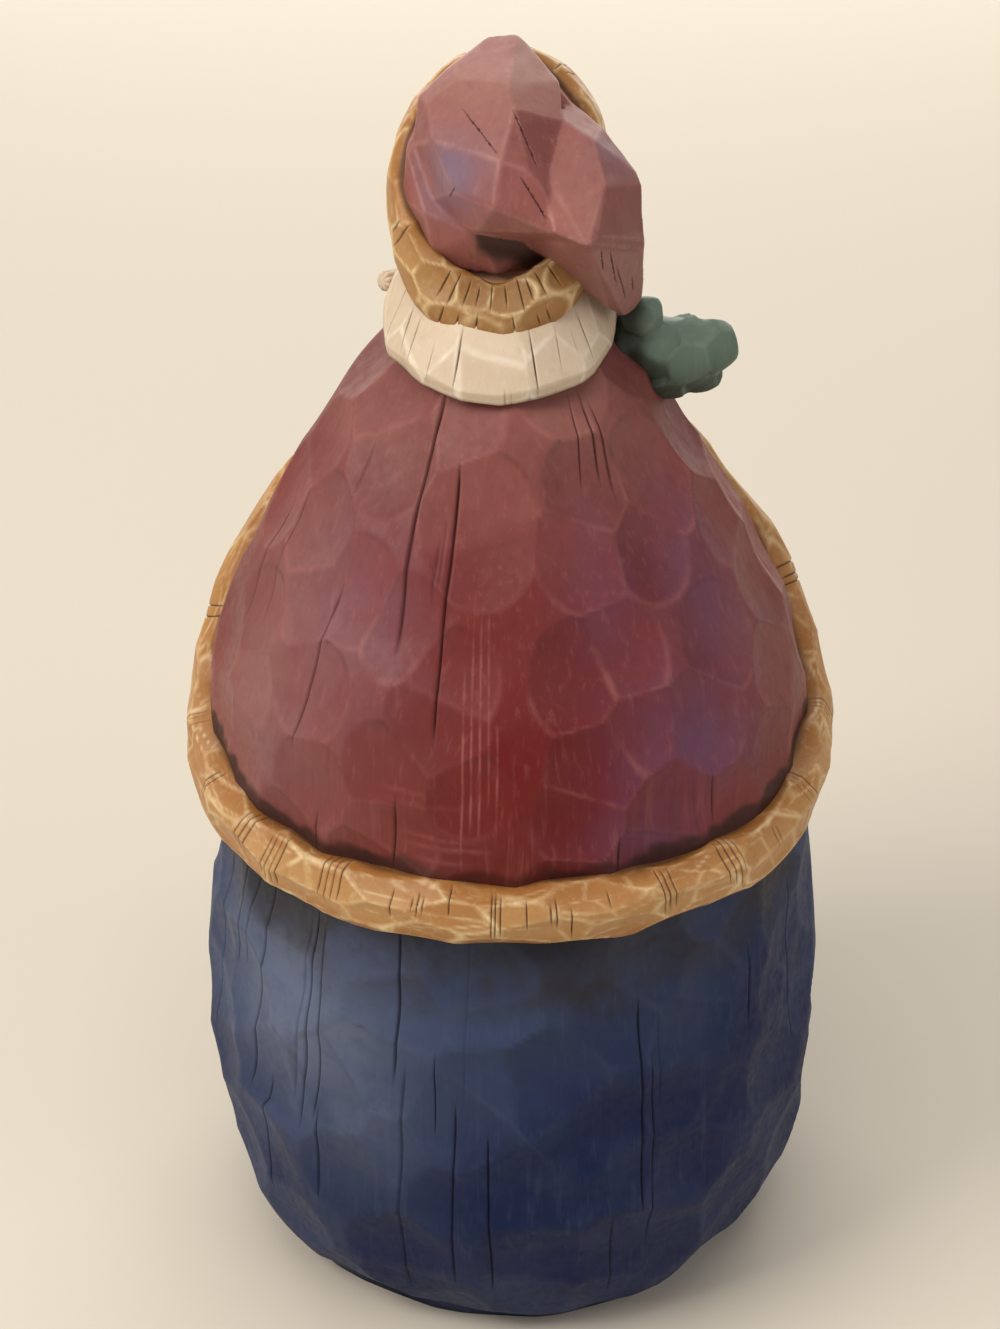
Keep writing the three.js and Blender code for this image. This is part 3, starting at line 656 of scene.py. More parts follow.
# A closed band: frameAt gives its points, outward and across directions for each angle
def carvedBand(name, band, frameAt):
    section = sectionCurve(band["section"])
    shares = np.linspace(0, 1, 241)
    bandSplits = Splits(band["splits"], band["radius"], crowd=1.5, reach=1.0)
    turn = np.linspace(0, fullTurn, 721)
    path = frameAt(turn)[0]
    walked = np.concatenate([[0], np.cumsum(np.linalg.norm(np.diff(path, axis=0), axis=1))])
    ring = section(shares) * band["scale"]
    rounded = np.concatenate([[0], np.cumsum(np.linalg.norm(np.diff(ring, axis=0), axis=1))])

    def place(u, v):
        angle = bandSplits.columnAngle(u)
        at, out, across = frameAt(angle)
        along = np.interp(angle % fullTurn, turn, walked)
        over = np.interp(v % 1, shares, rounded)
        flat = section(v) * band["scale"]
        ahead = section(v + 0.004) * band["scale"] - section(v - 0.004) * band["scale"]
        normal = np.stack([ahead[:, 1], -ahead[:, 0]], 1)
        normal /= np.linalg.norm(normal, axis=1)[:, None]
        normal *= np.where((normal * flat).sum(1) < 0, -1, 1)[:, None]
        push, tone, hue, ridge = whittled(along, walked[-1], over, rounded[-1], band["marks"])
        deep, dark = bandSplits.grooves(angle, (v + 0.5) % 1 * 100, band["radius"])
        flat = flat + normal * (push - deep)[:, None]
        points = at + out * flat[:, :1] + across * flat[:, 1:]
        outward = flat[:, 0] / band["section"][0][0] / band["scale"][0]
        rub = softWaves(points, 14, band["marks"]["seed"])
        onTop = smoothStep(0.25 - v, 0, 0.2) * (v < 0.5) + smoothStep(v, 0.78, 0.95)
        cream = (1 - smoothStep(ridge, 0.02, band["line"])) * (0.5 + 0.6 * hue)
        if "strokes" in band:  # a finer net of brush strokes over the cuts
            finer = {**band["marks"], **band["strokes"]}
            gap = whittled(along, walked[-1], over, rounded[-1], finer)[3]
            stroke = 1 - smoothStep(gap, 0.02, 0.6 * band["line"])
            cream = np.maximum(cream, band["strokeAmount"] * stroke)
        paint = {
            "tone": 0.2 + 0.6 * tone,
            "deep": 0.5 * hue * (1 - smoothStep(outward, 0.2, 0.9)),
            "glaze": np.clip(onTop, 0, 1) * (0.35 + 0.65 * hue),
            "rim": cream * smoothStep(outward, -0.2, 0.5) * (0.75 + 0.5 * rub),
            # painted shade: the brim's dull spots darken its nape under the cap's fold and tail
            "dustyToneAndPaintedLight": spots(angle, over, band["radius"], band.get("dull", [])),
            # shade: antiquing wash and painted shade on the band's inner side, against the body, and a
            # little all round
            "shade": 1 - smoothStep(outward, -0.35, 0.35) + 0.14,
            "crack": dark,
        }
        return points, paint

    return wrappedSheet(name, band["columns"], band["rows"], place)


# Groups [degrees, number, spacing in degrees, share of the section from, to] of knife cuts
def cutGroups(groups, seed, breadth, depth):
    lines = []
    for g, (middle, number, gap, low, high) in enumerate(groups):
        for i in range(number):
            place = middle + gap * (i - (number - 1) / 2 + 0.4 * (chance(g, i, seed) - 0.5))
            trim = 7 * chance(i, g, seed + 1)
            lines.append([place, place, 50 + 100 * high - trim, 50 + 100 * low + trim, breadth, depth])
    return lines


trim = {
    "section": [[6.4, 0.7], [4.9, 4.6], [0.4, 7.0], [-6, 4.9], [-8, 0], [-6, -4.9], [1.8, -7.0],
                [5.4, -3.9]],
    "scale": (1.0, 1.0), "radius": 78, "columns": 1120, "rows": 68,
    "marks": {"long": 17, "tall": 6.8, "depth": 0.85, "longHollow": 0.01, "roundHollow": 0.08,
              "stray": 0.8, "slope": 0.17, "spread": 0.6, "uncut": 0.3, "seed": 17},
    "splits": cutGroups([
        [52, 3, 1.1, -0.1, 0.3], [44, 4, 1.2, -0.15, 0.25], [31.5, 4, 1.3, -0.1, 0.32],
        [20, 1, 1, -0.1, 0.2], [15.4, 3, 1.0, -0.05, 0.2], [10.2, 1, 1, 0, 0.25],
        [2.5, 3, 0.8, -0.15, 0.25], [-2.5, 1, 1, -0.1, 0.2], [-6.8, 2, 1.2, -0.1, 0.2],
        [-9.7, 1, 1, -0.15, 0.1], [-16, 1, 1, 0, 0.22], [-26.4, 3, 1.1, -0.1, 0.25],
        [-40, 4, 1.2, -0.1, 0.3], [-52, 2, 1.4, -0.1, 0.2], [-64, 3, 1.3, -0.1, 0.3],
        [66, 2, 1.4, -0.1, 0.25], [82, 3, 1.2, -0.1, 0.3], [-85, 3, 1.2, -0.1, 0.3],
        [105, 2, 1.4, -0.1, 0.3], [-110, 3, 1.2, -0.1, 0.3], [128, 3, 1.2, -0.1, 0.3],
        [-135, 2, 1.2, -0.1, 0.3],
    ], 5, 0.32, 0.6),
    "sink": 6, "sinkFrom": 136, "sinkTo": 150, "line": 0.6,
    "strokes": {"long": 11, "tall": 5.2, "seed": 47}, "strokeAmount": 0.55,
}


def hemPoint(angle):
    z = hemHeight(fromBack(angle))
    return around(angle, coatRadius(z), z, axisX(z))


def trimFrame(angle):
    at = hemPoint(angle)
    along = hemPoint(angle + 0.01) - hemPoint(angle - 0.01)
    along /= np.linalg.norm(along, axis=1)[:, None]
    out = around(angle, 1.0, -slopeOf(coatRadius, hemHeight(fromBack(angle))))
    out /= np.linalg.norm(out, axis=1)[:, None]
    sunk = trim["sink"] * smoothStep(fromBack(angle), trim["sinkFrom"], trim["sinkTo"])
    at = at - out * sunk[:, None]
    across = np.cross(along, out)
    across /= np.linalg.norm(across, axis=1)[:, None]
    return at, out, across


trimPiece = carvedBand("hem_trim", trim, trimFrame)
finishPiece(trimPiece, goldPaint)
print("hem trim whittled", len(trimPiece.data.polygons))

brim = {
    "section": [[1, -0.2], [0.75, 0.6], [0.1, 1], [-0.9, 0.8], [-1.1, 0], [-0.9, -0.8], [0.15, -1],
                [0.8, -0.75]],
    "scale": (3.1, 6.3), "radius": 25, "columns": 500, "rows": 66,
    "marks": {"long": 10.5, "tall": 6.5, "depth": 0.45, "longHollow": 0.02, "roundHollow": 0.05,
              "stray": 0.6, "slope": 0.08, "spread": 0.35, "uncut": 0.25, "seed": 29},
    "splits": cutGroups([
        [-90, 10, 8, -0.03, 0.24], [-97, 1, 1, -0.26, 0.06], [-79, 1, 1, -0.22, 0.04],
        [-112, 2, 6, -0.24, 0.02], [-66, 2, 9, -0.22, 0.02], [-140, 1, 6, -0.05, 0.25],
        [-20, 2, 6, -0.05, 0.25], [30, 2, 6, -0.05, 0.25], [80, 3, 6, -0.05, 0.25],
        [130, 2, 6, -0.05, 0.25], [175, 2, 6, -0.05, 0.25],
    ], 9, 0.3, 0.6),
    "y": 0.2, "z": 272.0, "across": 21.2, "along": 29.0, "tilt": 48, "roll": 4,
    # the dull spot is painted shade on the brim's nape, under the cap's fold and tail
    "nape": 75, "forehead": 20, "sharpness": 1.5, "line": 0.8, "dull": [[-90, 14, 26, 60, 0.75]],
}
rollTurn, tiltTurn = math.radians(brim["roll"]), math.radians(brim["tilt"])
headAcross = np.array([math.cos(rollTurn), 0, -math.sin(rollTurn)])
headAlong = np.array([0, -math.cos(tiltTurn), math.sin(tiltTurn)])
headOut = np.cross(headAlong, headAcross)
headOut /= np.linalg.norm(headOut)
brimMiddle = np.array([headX, brim["y"], brim["z"]])


def brimFrame(angle):
    cosine, sine = np.cos(angle)[:, None], np.sin(angle)[:, None]
    lean = np.radians(brim["nape"] * np.maximum(0, -sine) ** brim["sharpness"]
                      + brim["forehead"] * np.maximum(0, sine))
    radial = headAcross * cosine + headAlong * sine
    at = brimMiddle + headAcross * brim["across"] * cosine + headAlong * brim["along"] * sine
    out = radial * np.cos(lean) + headOut * np.sin(lean)
    across = headOut * np.cos(lean) - radial * np.sin(lean)
    return at, out, across


brimPiece = carvedBand("cap_brim", brim, brimFrame)
finishPiece(brimPiece, goldPaint)
print("brim whittled", len(brimPiece.data.polygons))

hair = {
    "columns": 580, "rows": 96,
    "low": [[0, 233.6], [28, 235], [58, 238], [100, 238.6], [112, 236], [122, 230], [133, 215],
            [144, 199], [156, 185], [168, 177], [180, 174]],
    "high": [[0, 254], [50, 258], [80, 270], [104, 272], [120, 260], [135, 246], [180, 243]],
    "back": [[230, 36], [234.5, 32.6], [242, 28.0], [249, 23.2], [256, 17]],
    "side": [[218, 40], [230, 30], [235, 26.9], [243, 25.8], [249, 23.8], [256, 21.6], [273, 20]],
    "beard": [[172, 68.5], [188, 63.4], [203, 56.6], [216, 48.6], [228, 40.2], [236, 33.4],
              [242, 27.2], [247, 21]],
    "step": 4, "underlap": 1, "chip": 1.1, "chipEvery": 15, "edge": 2.2, "round": 30,
    "locks": 11, "lockDepth": 1.7, "lockRise": 4, "lockFade": 0.6, "sway": 0.5, "fineDepth": 0.35,
    "sideFrom": (40, 80), "frontFrom": (112, 145), "inside": (214, 240),
    "marks": {"width": 15, "height": 10, "depth": 0.5, "hollow": 0.009, "stray": 0.6, "slope": 0.05,
              "seed": 37, "uncut": 0.25, "blend": 2.4},
    "splits": [
        [54.1, 48.3, 251, 239, 0.34, 0.7], [45.7, 43.2, 249, 238, 0.3, 0.6],
        [18.8, 19.1, 249, 235, 0.36, 0.8], [-14.9, -15.3, 249, 234, 0.36, 0.8],
        [-29.4, -26.1, 248, 239, 0.26, 0.5], [-46.4, -44.2, 250, 239, 0.36, 0.8],
        [-2.1, -2.3, 238, 231, 0.3, 0.8], [-4.6, -4.8, 237, 231, 0.3, 0.8],
        [-11.7, -11.4, 237, 231, 0.3, 0.8], [-24.0, -23.6, 237, 231, 0.3, 0.8],
        [32, 31, 245, 236, 0.22, 0.4], [-38, -37, 247, 241, 0.22, 0.4], [66, 66, 255, 236, 0.3, 0.6],
        [-70, -70, 262, 237, 0.3, 0.6], [86, 86, 262, 237, 0.3, 0.6], [-92, -92, 258, 238, 0.3, 0.6],
    ],
}
hairLow, hairHigh = smoothCurve(hair["low"]), smoothCurve(hair["high"])
hairBack, hairSide, beardRadius = (smoothCurve(hair[key]) for key in ("back", "side", "beard"))
hairSplits = Splits(hair["splits"], hair["round"], crowd=1.5, reach=0.9)


def placeHair(u, v):
    rows = hair["rows"]
    ring = v * rows
    column = hairSplits.columnAngle(u)
    back = fromBack(column)
    side, front = smoothStep(back, *hair["sideFrom"]), smoothStep(back, *hair["frontFrom"])
    lock = front * (1 - np.abs(np.sin(np.radians((back - 180) * hair["locks"]))))
    low = hairLow(back) + hair["lockRise"] * lock
    chips = np.degrees(column) / hair["chipEvery"]
    chipped = lerp(chance(np.floor(chips), 1, 44), chance(np.floor(chips) + 1, 1, 44), chips % 1) - 0.5
    low = low + hair["chip"] * chipped * (1 - front)
    t = np.clip((ring - 8) / (rows - 9), 0, 1)
    z = lerp(low, hairHigh(back), t)
    angle = hairSplits.follow(column, z)
    edge = np.maximum(z, low + hair["edge"] * (1 - front) * (1 + 0.8 * chipped))
    radius = lerp(lerp(hairBack(edge), hairSide(edge), side), beardRadius(z), front)
    strandTurn = np.radians((back - 180) * hair["locks"])
    bend = hair["sway"] * np.sin(6.5 * t + 1.5) * smoothStep(t, 0, 0.35) * smoothStep(180 - back, 0, 14)
    lock = front * (1 - np.abs(np.sin(strandTurn + bend)))
    fine = front * (1 - np.abs(np.sin(3 * (strandTurn + bend) + 1.57))) ** 3
    slab = (1 - smoothStep(z - low, hair["edge"] - 0.5, hair["edge"] + 0.1)) * (1 - front)
    radius = radius - hair["lockDepth"] * lock * (1 - hair["lockFade"] * t) - hair["fineDepth"] * fine
    push, tone, hue, foot, ridge = gougeMarks(angle, z, lambda height: hair["round"], hair["marks"])
    deep, dark = hairSplits.grooves(column, z, radius)
    strand = np.sin(angle * 150 + 3 * np.sin(z / 9)) * 0.16 * front
    radius = radius + push * (1 - 0.6 * front) - deep + strand
    lip = np.clip((ring - 1) / 7, 0, 1)
    radius = np.where(ring < 8, lerp(coatRadius(low) - hair["step"], radius, np.sqrt(lip)), radius)
    z = np.where(ring < 8, lerp(low - hair["underlap"], low, lip), z)
    points = around(angle, radius, z, headX)
    points[ring < 0.5] = (headX, 0, hair["inside"][0])
    points[ring > rows - 0.5] = (headX, 0, hair["inside"][1])
    waves = softWaves(points, 20, 3)
    combed = front * smoothStep(np.maximum(lock, 0.75 * fine), 0.45, 0.95)
    # painted shade just under the cap's brim
    underBrim = smoothStep(z, hairHigh(back) - 9, hairHigh(back) - 2)
    paint = {
        "tone": 0.3 + 0.5 * tone + 0.2 * waves,
        "deep": 0.25 * hue,
        "rim": (1 - smoothStep(ridge, 0.1, 0.8)) * (1 - front),
        "dustyToneAndPaintedLight": 0.8 * slab,
        # shade: wash and painted shade at the lower lip over the coat, wash in the beard's combed
        # grooves, painted shade under the brim
        "shade": np.maximum((1 - smoothStep(z - low, 0.1, 1.0)) * 0.7, combed * 0.6) + 0.55 * underBrim,
        "crack": np.maximum(dark, 0.35 * front * smoothStep(lock, 0.85, 1.0)),
    }
    return points, paint


hairPiece = wrappedSheet("hair_and_beard", hair["columns"], hair["rows"], placeHair)
finishPiece(hairPiece, creamPaint)
print("hair and beard carved", len(hairPiece.data.polygons))


# Blocks cut to flat faces: each is the convex form round its corner points
def hullBlock(points):
    form = bmesh.new()
    for point in points:
        form.verts.new(Vector(point) * mm)
    made = bmesh.ops.convex_hull(form, input=form.verts[:])
    inner = set(made["geom_interior"] + made["geom_unused"])
    loose = [part for part in inner if isinstance(part, bmesh.types.BMVert)]
    bmesh.ops.delete(form, geom=loose, context="VERTS")
    bmesh.ops.dissolve_limit(form, angle_limit=math.radians(3), verts=form.verts[:], edges=form.edges[:])
    bmesh.ops.recalc_face_normals(form, faces=form.faces[:])
    return meshFrom(form, "block")


# Joins closed forms into one skin of small quads
def fused(name, meshes, voxel, smoothing):
    form = bmesh.new()
    for mesh in meshes:
        form.from_mesh(mesh)
    piece = makeObject(name, meshFrom(form, name))
    skin = piece.modifiers.new("skin", "REMESH")
    skin.mode, skin.voxel_size, skin.adaptivity = "VOXEL", voxel * mm, 0.0
    view = bpy.context.evaluated_depsgraph_get()
    done = bpy.data.meshes.new_from_object(piece.evaluated_get(view))
    piece.modifiers.clear()
    piece.data = done
    form = bmesh.new()
    form.from_mesh(done)
    for _ in range(smoothing):
        bmesh.ops.smooth_vert(form, verts=form.verts[:], factor=0.5, use_axis_x=True, use_axis_y=True,
                              use_axis_z=True)
    for face in form.faces:
        face.smooth = True
    form.to_mesh(done)
    form.free()
    return piece


# For each vertex: which flat face of the blocks it came from, and how far their nearest crease is
def creaseMap(piece, meshes, flatWithin=math.radians(13)):
    form = bmesh.new()
    for mesh in meshes:
        form.from_mesh(mesh)
    bmesh.ops.triangulate(form, faces=form.faces[:])
    form.faces.ensure_lookup_table()
    tree = BVHTree.FromBMesh(form)
    flats, number = {}, 0
    for face in form.faces:
        if face.index in flats:
            continue
        number += 1
        queue = [face]
        while queue:
            here = queue.pop()
            if here.index in flats:
                continue
            flats[here.index] = number
            for edge in here.edges:
                for other in edge.link_faces:
                    if other.index not in flats and other.normal.angle(here.normal, 0) < flatWithin:
                        queue.append(other)
    creases = {}
    for face in form.faces:
        for edge in face.edges:
            if len({flats[f.index] for f in edge.link_faces}) > 1:
                a, b = (np.array(v.co) / mm for v in edge.verts)
                creases.setdefault(flats[face.index], []).append((a, b))
    points = pointsOf(piece.data)
    owner = np.array([flats[tree.find_nearest(Vector(p) * mm)[2]] for p in points])
    near = np.full(len(points), 99.0)
    for flat, edges in creases.items():
        mine = owner == flat
        for a, b in edges:
            along = np.clip(((points[mine] - a) @ (b - a)) / ((b - a) @ (b - a)), 0, 1)[:, None]
            far = np.linalg.norm(points[mine] - a - along * (b - a), axis=1)
            near[mine] = np.minimum(near[mine], far)
    form.free()
    return owner, near


# The cap's corners are the ends of the knife cuts: its crown leans over to the right and folds,
# the lower part tucks in under the fold to the brim, and the tail hangs from it.
cap = {
    "crown": [
        [19.6, -1.6, 290.6], [17.7, 3.5, 290.7], [11.4, 1.6, 295.4], [0.7, 8.2, 296.6],
        [-5.2, 1.9, 295.6], [-10.4, -0.8, 293.7], [12.0, -4.9, 296.8], [4.5, -12.1, 300.3],
        [-1.0, -10.4, 301.4], [-3.7, -8.7, 299.5], [-0.6, 14.6, 293.0], [-10.8, 9.5, 288.8],
        [-10.1, 14.0, 285.7], [2.3, 24.2, 285.0], [-3.6, 24.3, 282.8], [16.6, 12.0, 285.4],
        [21.0, 3.6, 281.5], [11.8, 21.1, 276.9], [3.6, 28.2, 276.3], [-7.2, 25.7, 278.5],
        [-8.5, 28.8, 271.3], [-1.9, 28.5, 274.0], [19.7, 6.0, 270.5], [7.6, 21.8, 268.9],
        [5.5, 13.3, 267.5], [-7.4, 15.5, 263.8], [19.5, -7.5, 271.5], [2.8, -12.2, 275.7],
        [-5.5, -17.8, 285.4], [19, -12, 288], [10, -18, 294.5], [-4, -17, 296],
    ],
    "tuck": [
        [21.1, 2.1, 281.0], [16.6, 11.2, 285.1], [11.8, 20.2, 276.6], [7.6, 21.4, 268.9],
        [20.2, 6.8, 269.8], [14.3, 9.4, 260.7], [8.2, 15.6, 259.7], [2.3, 13.5, 256.6],
        [-5.8, 11.5, 256.4], [-2.5, 16.6, 265.9], [-12.2, 9.8, 255.6], [2.8, 19.9, 272.1], [0, -8, 270],
    ],
    "fold": [
        [-11.8, -3.9, 289.7], [-19.3, 3.5, 285.4], [-26.8, 8.3, 276.9], [-27.6, 10.0, 275.3],
        [-28.6, 15.8, 262.4], [-17.3, 12.9, 285.4], [-19.5, 22.2, 279.1], [-15.4, 33.4, 270.0],
        [-17.3, 32.2, 270.0], [-8.5, 30.6, 272.0], [-7.3, 24.1, 277.9], [-6.0, 20.4, 282.6],
        [-10.4, 13.9, 286.0], [-10.8, 9.5, 288.8], [-8.1, -1.7, 273.5], [-19.2, -0.9, 268.1],
        [-13.7, -8.6, 281.5], [-3.6, 16.6, 265.9],
    ],
    "tail": [
        [-28.4, 15.9, 266.0], [-15.4, 33.2, 270.6], [-17.3, 31.3, 271.5], [-3.2, 15.5, 264.6],
        [-28.6, 9.0, 249.1], [-26.9, 10.0, 246.9], [-24.7, 12.2, 246.0], [-20.8, 14.3, 248.8],
        [-15.1, 21.3, 259.2], [-11.1, 28.6, 268.6], [-13.0, 13.5, 254.1], [-8.0, 16.2, 260.6],
        [-22.9, -0.2, 250.8], [-27.5, 0.2, 246.2], [-18.1, 4.6, 258.5],
    ],
    "seat": [[20.6, 23.8, 0.8, 1, 11, 9], [21.2, 23.2, 4.2, 1, 10, 24], [19.4, 20.5, 11, 2, 9, 4]],
    "hollow": (-107, 30, 0.3), "overForehead": 2.2, "voxel": 0.5, "smoothing": 5,
    "glazeSpots": [[[13, 18, 280], 9, 1.0], [[-21, 12, 283], 6, 0.4]],
    "splits": [
        [[10.2, 8.9, 291.2], [2.8, 22.5, 285.8]], [[-0.3, 14.5, 292.7], [-5.3, 22.2, 283.0]],
        [[-1.9, 24.9, 281.8], [-7.4, 28.1, 273.7]], [[11.5, 20.5, 278.1], [12.8, 18.6, 275.2]],
        [[-20.5, 25.5, 266.1], [-22.3, 19.4, 256.1]], [[-22.0, 21.6, 261.5], [-24.5, 14.7, 251.4]],
        [[-18.5, 28.6, 267.5], [-19.2, 24.9, 261.6]], [[-25.6, 15.6, 256.9], [-26.1, 13.3, 252.6]],
    ],
    "splitHalf": 0.42, "splitDepth": 0.5, "splitInto": (0, -0.866, -0.5),
}


# The cap's seat inside the brim, cut to flat faces: rings of corners [half width, half length, how
# far out of the brim's plane, shift to the forehead, corners, turn], pulled in under the fold
def seatPoints():
    where, breadth, amount = cap["hollow"]
    points = []
    for across, along, lift, shift, corners, turn in cap["seat"]:
        for i in range(corners):
            degreesRound = turn + 360 * i / corners
            gap = (degreesRound - where + 180) % 360 - 180
            pull = 1 - amount * math.exp(-((gap / breadth) ** 2)) * min(1, max(0, lift / 4))
            a = math.radians(degreesRound)
            points.append(brimMiddle + headAcross * (across * math.cos(a) * pull) + headOut * lift
                          + headAlong * (along * math.sin(a) * pull + shift))
    return points


# Cuts thin splits into a skin with a knife plane each: three cuts side by side, the middle one sunk
def knifeSplits(mesh, lines, half, depth, into):
    form = bmesh.new()
    form.from_mesh(mesh)
    layer = form.verts.layers.float.new("crack")
    into = Vector(into).normalized()
    for start, end in lines:
        start, end = Vector(start) * mm, Vector(end) * mm
        long = (end - start).length
        along = (end - start) / long
        side = along.cross(into).normalized()
        faces = []
        for face in form.faces:
            reach = face.calc_center_median() - start
            beside = -mm < reach.dot(along) < long + mm and abs(reach.dot(side)) < 1.2 * mm
            if beside and face.normal.dot(into) < -0.1:
                if abs((reach - along * reach.dot(along)).dot(into)) < 5 * mm:
                    faces.append(face)
        for offset in (-half, 0, half):
            edges = {edge for face in faces for edge in face.edges}
            verts = {vert for face in faces for vert in face.verts}
            cut = bmesh.ops.bisect_plane(form, geom=faces + list(edges) + list(verts), dist=1e-6 * mm,
                                         plane_co=start + side * offset * mm, plane_no=side)
            faces = [part for part in cut["geom"] if isinstance(part, bmesh.types.BMFace)]
        for vert in {vert for face in faces for vert in face.verts}:
            reach = vert.co - start
            if abs(reach.dot(side)) < 0.02 * mm:
                share = reach.dot(along) / long
                amount = min(1, max(0, 6 * share * (1 - share))) ** 0.6
                vert.co += into * depth * amount * mm
                vert[layer] = max(vert[layer], amount)
    form.to_mesh(mesh)
    form.free()


capBlocks = [hullBlock(cap[key]) for key in ("crown", "fold", "tail", "tuck")] + [hullBlock(seatPoints())]
capPiece = fused("cap", capBlocks, cap["voxel"], cap["smoothing"])
knifeSplits(capPiece.data, cap["splits"], cap["splitHalf"], cap["splitDepth"], cap["splitInto"])
owner, near = creaseMap(capPiece, capBlocks)
capPoints, capNormals = pointsOf(capPiece.data), normalsOf(capPiece.data)
capPoints += capNormals * (0.1 * softWaves(capPoints, 7, 4) + 0.12 * softWaves(capPoints, 15, 9))[:, None]
above, forward = (capPoints - brimMiddle) @ headOut, (capPoints - brimMiddle) @ headAlong
lifted = np.maximum(0, cap["overForehead"] - above) * smoothStep(forward, -8, 0)
capPoints += lifted[:, None] * headOut
placePoints(capPiece.data, capPoints)


# How far each point lies from one block's skin, in mm
def reachTo(points, mesh):
    form = bmesh.new()
    form.from_mesh(mesh)
    tree = BVHTree.FromBMesh(form)
    form.free()
    return np.array([tree.find_nearest(Vector(p) * mm)[3] for p in points]) / mm


# painted shadow: the cap's lower part is darkened where the fold and tail hang over it
reaches = [reachTo(capPoints, block) for block in capBlocks]
overhang = np.minimum(np.minimum(reaches[0], reaches[1]), reaches[2])
lowPart = smoothStep(overhang - np.minimum(reaches[3], reaches[4]), 0.2, 0.8)
underFold = lowPart * (1 - smoothStep(overhang, 2, 9)) * (1 - smoothStep(capPoints[:, 0], 4, 11))
underFold *= smoothStep(capPoints[:, 1], 4, 12)


def nearSpot(points, at, reach):
    return np.exp(-(np.linalg.norm(points - at, axis=1) / reach) ** 2)


addPaint(capPiece.data, {
    "tone": 0.1 + 0.8 * chance(owner, 3, 51),
    "glaze": sum(amount * nearSpot(capPoints, at, reach) for at, reach, amount in cap["glazeSpots"]),
    "deep": 0.7 * smoothStep(-capPoints[:, 0], 8, 24) * (1 - smoothStep(capPoints[:, 2], 262, 284)),
    # painted light: lighter towards the cap's top; also lighter on some random facets
    "dustyToneAndPaintedLight": 0.6 * smoothStep(capPoints[:, 2], 288, 299) + 0.35 * (chance(owner, 6, 51) > 0.6),
    "rim": 0.5 * (1 - smoothStep(near, 0.1, 0.9)),
    # shade: painted shadow under the fold, and darker towards the cap's lowest parts
    "shade": 1.2 * underFold + 0.4 * (1 - smoothStep(capPoints[:, 2], 246, 254)),
})
finishPiece(capPiece, paleRedPaint)
print("cap cut", len(capPiece.data.polygons))

bobble = {
    "lumps": [[-38.6, -1, 232.4, 8.2], [-44.8, -0.5, 233.8, 5.8], [-42.6, -2, 228.2, 5.2],
              [-34.8, -2, 228.9, 7.4], [-32.2, -0.5, 234.6, 6.6], [-29.2, 3, 242.4, 4.5],
              [-26, -2, 235, 6.4]],
    "voxel": 0.5, "smoothing": 4, "cutEvery": 6.2, "strength": 0.6, "seed": 61,
}


def ballMesh(x, y, z, radius, squash=(1, 1, 1)):
    form = bmesh.new()
    size = Matrix.Diagonal((radius * squash[0] * mm, radius * squash[1] * mm, radius * squash[2] * mm, 1))
    bmesh.ops.create_icosphere(form, subdivisions=3, radius=1,
                               matrix=Matrix.Translation(Vector((x, y, z)) * mm) @ size)
    return meshFrom(form, "ball")


# Whittles a rounded skin: round each of many spots it is pressed towards that spot's own flat
def flatten(points, normals, spacing, strength, seed):
    order = np.argsort(chance(np.arange(len(points)), 2, seed))
    chosen = []
    for i in order[:4000]:  # enough tries to fill the skin with spots
        if all(np.linalg.norm(points[i] - points[j]) > spacing for j in chosen):
            chosen.append(i)
    chosen = np.array(chosen)
    gaps = np.linalg.norm(points[:, None] - points[chosen][None], axis=2)
    ranked = np.argsort(gaps, axis=1)[:, :2]
    rows = np.arange(len(points))
    seat = chosen[ranked[:, 0]]
    off = ((points[seat] - points) * normals[seat]).sum(1)
    moved = points + normals[seat] * (strength * np.clip(off, -2, 2))[:, None]
    return moved, ranked[:, 0], gaps[rows, ranked[:, 1]] - gaps[rows, ranked[:, 0]]


bobblePiece = fused("cap_bobble", [ballMesh(*lump) for lump in bobble["lumps"]], bobble["voxel"],
                    bobble["smoothing"])
bobblePoints, facet, edgeGap = flatten(pointsOf(bobblePiece.data), normalsOf(bobblePiece.data),
                                       bobble["cutEvery"], bobble["strength"], bobble["seed"])
placePoints(bobblePiece.data, bobblePoints)
addPaint(bobblePiece.data, {
    "tone": 0.2 + 0.6 * chance(facet, 3, 62),
    # painted light: lighter towards the top; also lighter on some random facets
    "dustyToneAndPaintedLight": smoothStep(bobblePoints[:, 2], 229, 240) * (0.3 + 0.6 * chance(facet, 5, 62)),
    # painted shade: darker towards the bottom
    "deep": 0.6 * (1 - smoothStep(bobblePoints[:, 2], 224, 234)),
    "rim": 0.35 * (1 - smoothStep(edgeGap, 0.2, 1.2)),
    # painted shadow under the tail's tip and against the hair
    "shade": 0.8 * (1 - smoothStep(np.abs(bobblePoints[:, 0] + 24), 2, 9)) + 0.05,
})
finishPiece(bobblePiece, greenPaint)
print("bobble cut", len(bobblePiece.data.polygons))

